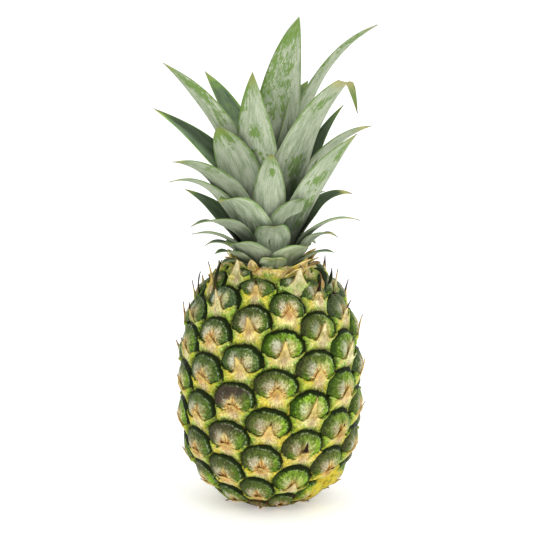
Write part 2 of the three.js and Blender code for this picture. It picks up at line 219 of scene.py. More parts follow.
class Side:
    """The fruit's side from base to shoulder, read by the distance along it above the widest ring."""

    STEPS = 700
    UPPER_POWER = 2.6
    LOWER_POWER = 2.76
    ROUNDNESS = 1 / 2.27

    # The rows of eyes crowd together over the shoulder: heights along the side count for more there.
    CROWDED_ABOVE = 0.072
    CROWDING = 20.0

    def __init__(self, fruit):
        self.z = np.linspace(0, fruit.shoulder_top, self.STEPS)
        above = self.z > fruit.equator
        reach = np.where(above, fruit.upper_reach, fruit.lower_reach)
        power = np.where(above, self.UPPER_POWER, self.LOWER_POWER)
        share = np.abs(self.z - fruit.equator) / reach
        self.radius = fruit.width / 2 * (1 - share**power) ** self.ROUNDNESS
        steps = np.hypot(np.diff(self.radius), np.diff(self.z))
        arc = np.concatenate([[0], np.cumsum(steps)])
        self.arc = arc - np.interp(fruit.equator, self.z, arc)
        tangent_r = np.gradient(self.radius, self.arc)
        tangent_z = np.gradient(self.z, self.arc)
        self.out_r, self.out_z = tangent_z, -tangent_r
        self.arc = self.arc + self.CROWDING * np.maximum(self.arc - self.CROWDED_ABOVE, 0) ** 2

    def at(self, arc):
        """Radius, height, and the outward direction's two parts."""
        return [np.interp(arc, self.arc, row) for row in (self.radius, self.z, self.out_r, self.out_z)]


# The eyes that face the front, and the top rows all round, by number. Each row holds the spine's
# length and how far its tip stands aside, in millimetres, then shares from 0 to 1: brown, fresh green
# and pale bloom on the cap, and orange and dryness on the bract. A few reach a little past 1.
EYE_TRAITS = {
    -16: (11, 1.0, 0.2, 0.1, 0.6, 0.2, 0.0),
    -15: (3, 3.0, 0.4, 0.0, 0.5, 0.3, 1.0),
    -14: (3, -2.0, 0.3, 0.0, 0.5, 0.3, 0.9),
    -13: (12, 3.5, 0.1, 0.2, 0.9, 0.2, 0.0),
    -12: (13, 1.0, 0.2, 0.1, 0.9, 0.4, 0.2),
    -11: (14, 1.5, 0.3, 0.0, 0.5, 1.0, 0.2),
    -10: (11, 0.5, 0.2, 0.1, 0.5, 0.0, 0.0),
    -9: (13, -1.0, 0.2, 0.2, 0.5, 0.3, 0.3),
    -8: (9, 0.8, 0.3, 0.0, 1.0, 0.8, 0.5),
    -7: (12, 1.0, 0.3, 0.1, 0.5, 0.3, 0.6),
    -6: (9, 3.0, 0.4, 0.0, 0.4, 0.8, 0.5),
    -5: (10, -1.5, 0.3, 0.2, 0.5, 0.6, 0.8),
    -3: (11, -1.0, 0.3, 0.0, 0.9, 0.3, 0.0),
    -2: (8, 1.0, 0.4, 0.0, 0.5, 0.4, 1.0),
    0: (4, 1.5, 0.3, 0.1, 1.15, 1.0, 0.4),
    2: (9, -2.0, 0.3, 0.1, 0.5, 0.6, 0.5),
    3: (9, 1.0, 0.6, 0.2, 0.5, 0.4, 0.6),
    5: (8.5, -2.0, 0.6, 0.15, 1.0, 0.9, 0.0),
    8: (9, 0.3, 0.6, 0.5, 0.4, 0.3, 0.0),
    10: (4, -1.0, 0.4, 0.0, 0.9, 0.8, 0.3),
    13: (10, 0.6, 0.0, 0.55, 0.7, 0.7, 0.1),
    15: (7, 1.5, 0.3, 0.3, 0.5, 0.5, 0.5),
    16: (10, 0.5, 0.1, 0.5, 0.5, 0.3, 0.2),
    18: (9, -3.5, 0.1, 0.0, 1.0, 0.7, 0.1),
    21: (5, -1.0, 0.6, 0.7, 0.7, 0.7, 0.4),
    23: (4, -1.0, 0.3, 0.0, 0.4, 0.8, 0.6),
    26: (5.5, 0.5, 0.6, 0.5, 0.9, 1.1, 0.6),
    29: (6, 0.5, 0.2, 0.6, 0.5, 0.8, 0.2),
    31: (3.5, -1.5, 1.3, 0.2, 0.7, 0.9, 0.9),
    34: (14, 2.6, 0.0, 0.9, 0.5, 0.6, 0.1),
    36: (5, 2.0, 0.3, 0.2, 0.5, 0.7, 0.5),
    39: (9, 2.0, 0.6, 0.7, 0.7, 1.1, 0.3),
    42: (7, 0.5, 0.4, 0.8, 0.4, 0.9, 0.4),
    44: (3, -3.0, 0.9, 0.2, 0.8, 1.0, 1.0),
    47: (11, 0.5, 0.6, 0.7, 0.6, 1.15, 1.0),
    49: (4, 1.0, 0.5, 0.1, 0.5, 0.9, 0.8),
    52: (4, -2.5, 0.5, 0.3, 1.0, 1.1, 0.9),
    55: (3, 3.0, 0.6, 0.5, 1.0, 1.15, 1.0),
    57: (5, -4.0, 0.6, 0.2, 0.7, 1.1, 1.0),
    60: (7, 1.0, 0.3, 1.0, 0.4, 0.4, 0.3),
    63: (4, 1.0, 0.3, 0.9, 0.7, 1.0, 1.0),
    65: (5, -1.0, 0.4, 0.2, 0.8, 1.0, 1.0),
    68: (4, 1.0, 0.1, 1.0, 0.5, 1.0, 0.9),
    76: (3, 1.0, 0.3, 1.0, 0.5, 1.0, 1.0),
}

# Half the width of the broadest spines at their foot, in millimetres, by eye number.
BROAD_SPINES = {-16: 9.5, -13: 12.5, -12: 6.0, -9: 6.0}

# Eyes on the shoulder that grew off the spiral, by number: how far aside and how far up the side each
# stands from its place, in millimetres, and its cap's width as a share of the usual.
STRAYS = {
    -16: (-5, -2, 1.0),
    -13: (6, -6, 1.1),
    -11: (-4, -4, 1.0),
    -10: (0, -7, 1.0),
    -8: (-4, -1, 1.3),
    -6: (0, -8, 1.0),
    -3: (-7, -2, 1.2),
    2: (-5, -5, 1.0),
}


# The columns of an eye's traits: those of the table above, then half the spine's width at its foot, the
# cap's width as a share of the usual, and how far the eye stands aside and up from its place.
SPINE, LEAN, BROWN, FRESH, BLOOM, ORANGE, DRY, HALF, WIDE, ASIDE, UP = range(11)


class Eyes:
    """The spiral of eyes, and the form of the skin over it."""

    # The eyes are numbered from the fruit's top to its foot. The skin past either end shows a few more.
    TOP = -16
    BOTTOM = 86
    PAST_TOP = 4
    PAST_BOTTOM = 10

    # Thirteen eyes on, the spiral has gone round five times and comes out almost straight below.
    ROWS = 13
    ROUNDS = 5

    # The eyes that can reach a place, counted from the one level with it, and a distance beyond them all.
    NEIGHBOURS = range(-12, 16)
    FAR = 9.0

    # How far a cap's outline stands from its middle, and how much less a bract reaches up than aside.
    CAP_REACH = 13.5 * MM
    BRACT_SQUAT = 1.15

    def __init__(self, fruit, eye):
        self.fruit = fruit
        self.eye = eye
        self.side = Side(fruit)
        self.ring = fruit.width / 2
        self.numbers = np.arange(self.TOP - self.PAST_TOP, self.BOTTOM + self.PAST_BOTTOM)
        self.traits = np.array([self.trait(k) for k in self.numbers])

    def place(self, k):
        """The even azimuth in degrees and the height along the side of eye number k."""
        aside = np.degrees(self.of(k, ASIDE) / self.ring)
        angle = self.fruit.first_angle + k * self.fruit.eye_turn + aside
        return wrap(angle), self.fruit.first_arc - k * self.fruit.eye_fall + self.of(k, UP)

    def squeeze(self, angle):
        """Where an even azimuth really lies, because the eyes crowd together at the front."""
        return angle - np.degrees(self.fruit.squeeze * np.sin(np.radians(angle)))

    def drift(self, arc):
        """How far the steepest rows of eyes have turned at a height."""
        turn = self.ROWS * self.fruit.eye_turn - self.ROUNDS * 360
        return (self.fruit.first_arc - arc) * turn / (self.ROWS * self.fruit.eye_fall)

    def trait(self, k):
        """An eye's own row, drawn where the table has none. Spines shorten toward the base."""
        k = int(k)
        half = BROAD_SPINES.get(k, 3.6 + 1.6 * draw(k, 16)) * MM
        aside, up, wide = STRAYS.get(k, (0, 0, 1))
        own = (half, wide, aside * MM, up * MM)
        if k in EYE_TRAITS:
            spine, lean, *shares = EYE_TRAITS[k]
            return (spine * MM, lean * MM, *shares, *own)
        low = smooth(k, 8, 60)
        spine = self.eye.spine * lerp(0.95, 0.5, low) * (0.7 + 0.5 * draw(k, 1))
        lean = 4 * MM * (draw(k, 3) - 0.5)
        brown = 0.8 * draw(k, 11) ** 2
        fresh = 0.7 * draw(k, 12)
        bloom = 0.4 + 0.6 * draw(k, 13)
        orange = 0.3 + 0.7 * draw(k, 14)
        dry = lerp(0.1, 0.8, low) * draw(k, 15) * 1.4
        return (spine, lean, brown, fresh, bloom, orange, min(dry, 1), *own)

    def of(self, k, column):
        """One trait of the eyes numbered k."""
        index = np.clip(np.nan_to_num(k) - self.numbers[0], 0, len(self.numbers) - 1)
        return self.traits[index.astype(int), column]

    def wing_edge(self, k, x):
        """Height in the eye of the bract's upper edge, without its spine, at x across."""
        across = np.abs(x)
        outer = np.maximum(across - 7.5 * MM, 0) / (7.5 * MM)
        inner = np.clip(7.5 * MM - across, 0, 5 * MM) / (5 * MM)
        wave = 0.35 * MM * np.sin(x / (0.9 * MM) + 6.3 * draw(k, 2)) * smooth(across, 3 * MM, 6 * MM)
        lobes = -0.9 * MM * bump(across, 6.5 * MM, 2.8 * MM)
        tilt = 0.1 * (draw(k, 5) - 0.5) * x
        return self.eye.wing + 2.6 * MM * outer**2 + 2.4 * MM * inner**2 + lobes + wave + tilt

    def spine_edge(self, k, x):
        """How far the bract's spine stands over its wings' edge, at x across."""
        half = self.of(k, HALF)
        power = lerp(1.8, 1.25, smooth(half, 5.2 * MM, 7.5 * MM))
        return self.of(k, SPINE) * np.clip(1 - np.abs(x) / half, 0, 1) ** power

    def cap_radius(self, k, x, y):
        """0 at the cap's middle and 1 at its outline."""
        eye = self.eye
        wide = eye.cap_half_width * (0.95 + 0.08 * draw(k, 4)) * self.of(k, WIDE)
        above = y > eye.cap_line
        tall = np.where(above, eye.cap_rise * (0.94 + 0.12 * draw(k, 9)), eye.cap_drop)
        power = np.where(above, 2.1, 2.6)
        tilt = 0.18 * (draw(k, 5) - 0.5)
        up = np.abs(y - eye.cap_line - tilt * x * above)
        radius = ((np.abs(x) / wide) ** power + (up / tall) ** power) ** (1 / power)
        turn = np.arctan2(y - eye.cap_line, x)
        wobble = 0.016 * np.sin(5 * turn + 6.3 * draw(k, 17)) + 0.012 * np.sin(11 * turn + 6.3 * draw(k, 18))
        scallop = 0.007 * np.sin(34 * turn + 4 * np.sin(3 * turn))
        return radius * (1 + (wobble + scallop) * above)

    def read(self, angle, arc):
        """What lies at each place of the skin, given by even azimuth and height along the side.

        For the nearest cap it gives the eye's number (cap), the place in that eye (cap_x, cap_y), the
        distance out from its outline (gap) and the depth under its bract's edge (cap_below). For the
        nearest bract it gives the same (bract, x, y, below), the distance from every other eye's cap
        (other), and the distance from the next bract (margin).
        """
        fruit, eye = self.fruit, self.eye
        nearest = np.round((fruit.first_arc - arc) / fruit.eye_fall)
        gap = next_gap = reach = next_reach = np.full(arc.shape, self.FAR)
        cap = bract = np.zeros(arc.shape)
        for offset in self.NEIGHBOURS:
            k = nearest + offset
            x, y = self.within(k, angle, arc)
            here = (self.cap_radius(k, x, y) - 1) * self.CAP_REACH
            cap = np.where(here < gap, k, cap)
            next_gap = np.where(here < gap, gap, np.minimum(next_gap, here))
            gap = np.minimum(gap, here)
            here = np.hypot(x, (y - eye.bract_middle) * self.BRACT_SQUAT)
            bract = np.where(here < reach, k, bract)
            next_reach = np.where(here < reach, reach, np.minimum(next_reach, here))
            reach = np.minimum(reach, here)
        found = {"cap": cap, "gap": gap, "bract": bract, "margin": next_reach - reach}
        found["other"] = np.where(cap == bract, next_gap, gap)
        for owner, prefix in (("cap", "cap_"), ("bract", "")):
            x, y = self.within(found[owner], angle, arc)
            found.update({prefix + "x": x, prefix + "y": y})
            found[prefix + "below"] = self.wing_edge(found[owner], x) - y
        return found

    def within(self, k, angle, arc):
        """A place's coordinates within eye number k: across it and up the side."""
        eye_angle, eye_arc = self.place(k)
        return np.radians(wrap(angle - eye_angle)) * self.ring, arc - eye_arc

    def cap_lift(self, found):
        """The cap: a steep-sided dome with a flat rim, and two lobes that tuck under the bract's edge."""
        k, x, y = found["cap"], found["cap_x"], found["cap_y"]
        radius = self.cap_radius(k, x, y)
        dome = self.eye.cap_height * np.clip(1 - radius**3.4, 0, 1) ** 0.55
        rim = 0.35 * MM * bump(radius, 0.86, 0.06) - 0.4 * MM * bump(radius, 0.76, 0.05)
        size = 1.3 * MM * (0.7 + 0.6 * draw(k, 6))
        lobes = size * bump(np.abs(x), 6.0 * MM, 3.9 * MM) * bump(y, -5.5 * MM, 4.5 * MM)
        valley = -0.7 * MM * bump(x, 0, 2.0 * MM) * smooth(radius, 1.0, 0.6)
        deep = 1.7 * MM * (1 - 0.75 * self.of(k, DRY))
        tuck = -deep * np.exp(np.minimum(found["cap_below"], 0) / (1.3 * MM)) * smooth(radius, 1.05, 0.9)
        return dome + rim + lobes + valley + tuck

    def bract_lift(self, k, x, y):
        """The bract: a ramp that rises from its foot to its free edge, with a keel under the spine."""
        top = self.wing_edge(k, x)
        share = np.clip((y - self.eye.bract_foot) / (top - self.eye.bract_foot), 0, 1)
        slope = lerp(0.3 * MM, self.eye.bract_height, share**0.8)
        keel = 0.9 * MM * bump(x, 0, 2.6 * MM) * smooth(y, -19 * MM, -10 * MM)
        cheeks = -0.4 * MM * bump(np.abs(x), 6.5 * MM, 2.6 * MM) * share
        return slope + keel + cheeks

    def skin_lift(self, found):
        """Height of the skin over its grooves, given what read() found."""
        bract = self.bract_lift(found["bract"], found["x"], found["y"])
        bract = bract * smooth(found["other"], -0.3 * MM, 2.6 * MM)
        over = smooth(found["cap_below"], -0.35 * MM, 0.35 * MM)
        return np.where(found["gap"] < 0, lerp(self.cap_lift(found), bract, over), bract)

    def surface(self, angle, arc, lift):
        """Points on the fruit, given even azimuths, heights along the side and lifts over the grooves."""
        radius, z, out_r, out_z = self.side.at(arc)
        small = np.sqrt(np.clip(radius / self.ring, 0, 1))
        rise = lift * small - self.fruit.skin_depth
        out = radius + rise * out_r
        turn = np.radians(self.squeeze(wrap(angle)))
        return np.stack([out * np.sin(turn), -out * np.cos(turn), z + rise * out_z], axis=-1)


# ---- meshes ----


def new_object(name, data):
    made = bpy.data.objects.new(name, data)
    bpy.context.scene.collection.objects.link(made)
    return made


def new_piece(mesh, slot, node, *materials):
    """Puts a finished mesh in the scene in its materials, riding on the one body in place of a CAD node."""
    piece = new_object(mesh.name, mesh)
    for name in materials:
        mesh.materials.append(bpy.data.materials[name])
    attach(piece, "root")
    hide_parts(node)
    return piece


def mesh_from(bm, name, smooth_faces=True):
    mesh = bpy.data.meshes.new(name)
    bm.to_mesh(mesh)
    bm.free()
    mesh.polygons.foreach_set("use_smooth", [smooth_faces] * len(mesh.polygons))
    return mesh


def new_sheets(name, count, across, along):
    """A mesh of flat grids one after another, and the shares across (-1 to 1) and along one (0 to 1)."""
    bm = bmesh.new()
    for _ in range(count):
        bmesh.ops.create_grid(bm, x_segments=across, y_segments=along, size=1.0)
    mesh = mesh_from(bm, name)
    grid = get_points(mesh)[: len(mesh.vertices) // count]
    return mesh, grid[:, 0], (grid[:, 1] + 1) / 2


def new_spun(name, outline, steps):
    """An outline of radii and heights spun closed, and each point's number in the outline."""
    bm = bmesh.new()
    number = bm.verts.layers.int.new("number")
    verts = [bm.verts.new((0.0, -radius, height)) for radius, height in outline]
    for i, vert in enumerate(verts):
        vert[number] = i
    edges = [bm.edges.new(pair) for pair in zip(verts, verts[1:])]
    turn = {"cent": (0, 0, 0), "axis": (0, 0, 1), "angle": math.tau, "steps": steps}
    bmesh.ops.spin(bm, geom=verts + edges, use_merge=True, **turn)
    bmesh.ops.remove_doubles(bm, verts=bm.verts, dist=1e-6)
    bmesh.ops.recalc_face_normals(bm, faces=bm.faces)
    numbers = np.array([vert[number] for vert in bm.verts])
    bm.verts.layers.int.remove(number)
    return mesh_from(bm, name), numbers


def give_wall(piece, thickness, offset):
    """Makes a piece's open sheets solid."""
    wall = piece.modifiers.new("thickness", "SOLIDIFY")
    wall.thickness = thickness
    wall.offset = offset
    return wall


def set_points(mesh, points):
    mesh.vertices.foreach_set("co", np.asarray(points, dtype=np.float32).ravel())
    mesh.update()


def get_points(mesh):
    flat = np.empty(len(mesh.vertices) * 3, dtype=np.float32)
    mesh.vertices.foreach_get("co", flat)
    return flat.reshape(-1, 3).astype(float)


def store(mesh, name, *rows):
    """Keeps three rows of numbers on the mesh's points, for its materials to read."""
    attribute = mesh.attributes.new(name, "FLOAT_VECTOR", "POINT")
    attribute.data.foreach_set("vector", np.stack(rows, axis=-1).astype(np.float32).ravel())


def store_eye(mesh, eyes, found, spine_share):
    """The eye-by-eye facts that the skin's materials read, in millimetres and shares."""
    cap, bract = found["cap"], found["bract"]
    store(mesh, "cap_place", *[found[name] / MM for name in ("cap_x", "cap_y", "gap")])
    store(mesh, "cap_tone", *[eyes.of(cap, trait) for trait in (BROWN, FRESH, BLOOM)])
    store(mesh, "bract_place", *[found[name] / MM for name in ("x", "y", "below")])
    store(mesh, "bract_tone", eyes.of(bract, ORANGE), eyes.of(bract, DRY), found["margin"] / MM)
    store(mesh, "eye_edge", found["cap_below"] / MM, found["other"] / MM, spine_share)
    store(mesh, "eye_seed", draw(cap, 21), draw(bract, 22), draw(bract, 23))
    store(mesh, "cap_wear", eyes.of(cap, ORANGE), eyes.of(cap, DRY), eyes.of(cap, SPINE) / MM)


# ---- shader nodes ----


class Value:
    """What a shader node puts out. Arithmetic on it adds nodes to its tree, so masks read like sums."""

    def __init__(self, socket):
        self.socket = socket
        self.tree = socket.id_data

    def __add__(self, other):
        return calculate("ADD", self, other)

    def __sub__(self, other):
        return calculate("SUBTRACT", self, other)

    def __rsub__(self, other):
        return calculate("SUBTRACT", other, self)

    def __mul__(self, other):
        return calculate("MULTIPLY", self, other)

    def __neg__(self):
        return self * -1.0

    def __abs__(self):
        return calculate("ABSOLUTE", self)


def feed(node, inputs):
    """Links values to the node's inputs, given by name or number, and sets plain numbers and colours."""
    for key, value in inputs.items():
        if isinstance(value, Value):
            value.tree.links.new(value.socket, node.inputs[key])
        else:
            node.inputs[key].default_value = value


def new_node(kind, inputs, **settings):
    """A new node, fed with inputs in order or by name or number, in the tree that its values come from."""
    inputs = inputs if isinstance(inputs, dict) else dict(enumerate(inputs))
    tree = next(value.tree for value in inputs.values() if isinstance(value, Value))
    node = tree.nodes.new(kind)
    for key, value in settings.items():
        setattr(node, key, value)
    feed(node, inputs)
    return node


def calculate(operation, *numbers):
    return Value(new_node("ShaderNodeMath", numbers, operation=operation).outputs[0])


def most(a, b):
    return calculate("MAXIMUM", a, b)


def least(a, b):
    return calculate("MINIMUM", a, b)


def hypot(first, *others):
    """The length of a vector, from its parts."""
    total = first * first
    for part in others:
        total = total + part * part
    return calculate("SQRT", total)


def ramp(value, low, high, to_low=0.0, to_high=1.0):
    """An eased ramp of the value from low to high."""
    inputs = (value, low, high, to_low, to_high)
    return Value(new_node("ShaderNodeMapRange", inputs, interpolation_type="SMOOTHSTEP").outputs[0])


def bell(value, middle, width):
    """1 at the middle, falling away over the width on both sides. On a noise it draws thin curves."""
    return ramp(abs(value - middle), width, 0.0)


def mix(share, a, b, blend="MIX"):
    """The colour a with a share of the colour b laid over it."""
    inputs = {"Factor": share, 6: a, 7: b}
    return Value(new_node("ShaderNodeMix", inputs, data_type="RGBA", blend_type=blend).outputs[2])


def shade(colour, value):
    """The colour made lighter or darker by a value."""
    return mix(1.0, colour, value, "MULTIPLY")


def split(vector):
    return [Value(part) for part in new_node("ShaderNodeSeparateXYZ", [vector]).outputs]


def join(x, y, z):
    return Value(new_node("ShaderNodeCombineXYZ", (x, y, z)).outputs[0])


def noise(vector, scale, detail, roughness):
    inputs = {"Vector": vector, "Scale": scale, "Detail": detail, "Roughness": roughness}
    return Value(new_node("ShaderNodeTexNoise", inputs).outputs["Fac"])


def relief(height, distance, strength):
    """The skin's normals, tilted by a height in metres times the distance."""
    inputs = {"Height": height, "Distance": distance, "Strength": strength}
    return Value(new_node("ShaderNodeBump", inputs).outputs["Normal"])


def stored(tree, *names):
    """The vectors that store() keeps on the mesh under the names."""
    vectors = []
    for name in names:
        node = tree.nodes.new("ShaderNodeAttribute")
        node.attribute_name = name
        vectors.append(Value(node.outputs["Vector"]))
    return vectors


def object_place(tree):
    return Value(tree.nodes.new("ShaderNodeTexCoord").outputs["Object"])


def new_material(name, roughness, specular):
    """An empty principled material: its node tree and its shader."""
    material = bpy.data.materials.new(name)
    material.use_nodes = True
    tree = material.node_tree
    tree.nodes.clear()
    shader = tree.nodes.new("ShaderNodeBsdfPrincipled")
    feed(shader, {"Roughness": roughness, "Specular IOR Level": specular})
    output = tree.nodes.new("ShaderNodeOutputMaterial")
    tree.links.new(shader.outputs[0], output.inputs["Surface"])
    return tree, shader


def new_group(name, inputs, outputs):
    """An empty node group with vectors for inputs: its tree, those vectors and its output node."""
    tree = bpy.data.node_groups.new(name, "ShaderNodeTree")
    for socket in inputs:
        tree.interface.new_socket(socket, in_out="INPUT", socket_type="NodeSocketVector")
    for socket in outputs:
        kind = "NodeSocketColor" if socket == "Colour" else "NodeSocketFloat"
        tree.interface.new_socket(socket, in_out="OUTPUT", socket_type=kind)
    given = tree.nodes.new("NodeGroupInput")
    return tree, [Value(given.outputs[socket]) for socket in inputs], tree.nodes.new("NodeGroupOutput")


def use_group(group, *inputs):
    """The outputs of a node group that is fed with the inputs in order."""
    return [Value(socket) for socket in new_node("ShaderNodeGroup", inputs, node_tree=group).outputs]


# ---- the skin's materials ----

EYE_INPUTS = ("Place", "Tone", "Edge", "Seed", "Wear")
EYE_OUTPUTS = ("Colour", "Height")


def fan_out(x, y, seed, fine, run):
    """Noise drawn out in lines that fan from the spine's foot, at (0, -10) in the eye."""
    up = y + 10.0
    turn = calculate("ARCTAN2", x, up)
    return noise(join(turn * fine, hypot(x, up) * run, seed), 2.0, 4.0, 0.62)


def bract_group(palette):
    """The bract's colour and fine relief, from the place in the eye."""
    group, given, put = new_group("bract skin", EYE_INPUTS, EYE_OUTPUTS)
    place, tint, edges, draws, wear = [split(vector) for vector in given]
    x, y, _ = place
    orange, dry, margin = tint
    edge, rim, spine_share = edges
    _, first, second = draws
    spine = wear[2]
    across = abs(x)
    seed = first * 60.0
    lines = fan_out(x, y, seed, 3.4, 0.16)
    fibres = fan_out(x, y, seed + 9.0, 7.0, 0.25)
    patch = noise(join(x * 0.14, y * 0.14, seed), 1.0, 3.0, 0.6)
    lump = noise(join(x * 0.3, y * 0.2, seed), 1.9, 3.0, 0.6)
    fleck = noise(join(x * 0.5, y * 0.5, seed), 1.8, 3.0, 0.7)

    # A pale green ground, creamier where the eye is riper and yellower along the wings' free edges.
    warm = ramp(orange + (patch - 0.5) * 1.6, 0.15, 0.95)
    whitish = mix(ramp(lump, 0.36, 0.56), palette.bract_pale, palette.bract_white)
    colour = mix(warm, whitish, palette.bract_cream)
    ground = patch * 0.6 + (second - 0.5) * 0.2 + lump * 0.4
    yellow = ramp(ground, 0.36, 0.54) * ramp(across, 1.0, 6.0, 0.4, 1.0)
    yellow = yellow * (ramp(edge, 6.0, 0.5, 0.6, 1.0) * ramp(warm, 0.0, 1.0, 0.6, 1.0))
    ripe = ramp(orange + (patch - 0.5) * 1.6, 1.0, 1.35)
    unripe = 1.0 - ripe * 0.85
    yellow = most(yellow, ripe * 0.8)
    colour = mix(yellow, colour, palette.bract_yellow)
    colour = shade(colour, ramp(lump, 0.36, 0.6, 0.84, 1.12))
    blades = ramp(lines, 0.47, 0.64) * ramp(across, 1.0, 6.0, 0.35, 0.95)
    blades = blades * (ramp(rim, 9.0, 3.0, 0.35, 1.0) * ramp(warm, 0.0, 1.0, 1.0, 0.6))
    colour = mix(blades * unripe, colour, palette.bract_green)

    # Green toward the neighbouring caps and down the tails, in streaks that fan out.
    loose = (patch - 0.5) * 5.0 + (lines - 0.5) * 8.0
    near = ramp(rim + loose, 5.0, 0.8)
    low = ramp(y + loose, -14.0, -20.0)
    wide = ramp(across - loose, 8.0, 14.0, 0.0, 0.7)
    low = low * ramp(warm, 0.0, 1.0, 0.85, 0.45)
    green = most(most(near, low), wide)
    colour = mix(green * 0.9 * unripe, colour, palette.bract_green)
    deep = ramp(rim + loose * 0.5, 2.6, 0.4)
    colour = mix(deep * (unripe * 0.85), colour, palette.cap_deep)

    # A pinkish middle and a warm patch round the spine's foot.
    middle = bell(y, -14.0, 5.5) * bell(x, 0.0, 6.5)
    pink = middle * ramp(patch + dry * 0.1, 0.4, 0.56, 0.15, 0.7)
    colour = mix(pink, colour, palette.bract_pink)
    foot = bell(y, -9.8, 5.5) * bell(x, -1.0, 6.8)
    foot = foot * (orange * ramp(spine, 11.0, 6.0, 0.35, 0.8))
    foot = foot * ramp(lump + (lines - 0.5), 0.36, 0.62, 0.3, 1.3)
    colour = mix(least(foot, 0.75), colour, palette.bract_tan)
    colour = shade(colour, ramp(lines, 0.36, 0.62, 0.74, 1.16))
    colour = shade(colour, ramp(fibres, 0.4, 0.6, 0.86, 1.14))
    colour = shade(colour, ramp(fleck, 0.36, 0.6, 0.9, 1.12))
    white = ramp(fibres, 0.52, 0.66) * ramp(across, 12.0, 2.0, 0.15, 0.65)
    colour = mix(white, colour, palette.bract_white)

    # Fine brown cracks in the middle, and dry spots.
    cracks = bell(lines, 0.5, 0.035) * ramp(patch, 0.42, 0.6)
    cracks = cracks * ramp(across, 9.0, 2.0, 0.2, 1.0)
    colour = mix(cracks * ramp(dry, 0.0, 1.0, 0.45, 1.0), colour, palette.bract_brown)
    spot = ramp(fleck, 0.6, 0.68) * ramp(dry, 0.0, 1.0, 0.35, 0.95)
    colour = mix(spot, colour, palette.bract_brown)

    # The spine is cream with tan lines, and its dry end is brown.
    risen = ramp(spine_share, 0.02, 0.25)
    bare = ramp(spine_share, 0.02, 0.5)
    tinge = ramp(orange, 0.1, 0.6, 0.3, 1.0)
    fair = mix(ramp(orange, 0.2, 0.7), palette.bract_white, palette.bract_cream)
    spine_tone = mix(ramp(fibres, 0.42, 0.6, 0.0, 0.55) * tinge, fair, palette.spine_gold)
    golden = most(ramp(edge, 1.1, 0.3, 0.0, 0.6), ramp(orange, 0.75, 1.0, 0.0, 0.5))
    spine_tone = mix(golden, spine_tone, palette.spine_gold)
    colour = mix(bare * 0.8, colour, spine_tone)
    start = ramp(dry, 0.0, 1.0, 0.85, 0.12) + ramp(spine, 9.0, 4.0, 0.0, 0.45)
    dead = ramp(spine_share - (start + (fleck - 0.5) * 0.5), -0.1, 0.1)
    colour = mix(dead * risen, colour, palette.spine_tip)
    outline = ramp(edge, 0.5, 0.1) * ramp(fleck, 0.4, 0.6, 0.05, 0.6)
    colour = mix(outline * ramp(spine_share, 0.0, 0.1, 0.5, 1.0), colour, palette.bract_brown)

    # Dark seams toward the next caps and bracts: partly the skin's own dark lines, partly painted shade down
    # in the grooves.
    ragged = rim + (fleck - 0.5) * 2.6
    seam_and_shade = most(ramp(ragged, 1.0, 0.3), ramp(margin, 0.9, 0.1, 0.0, 0.5))
    colour = mix(seam_and_shade, colour, palette.groove_and_shade)
    feed(put, {"Colour": colour, "Height": lines + fibres * 0.5 + lump * 0.9 - cracks * 0.5})
    return group


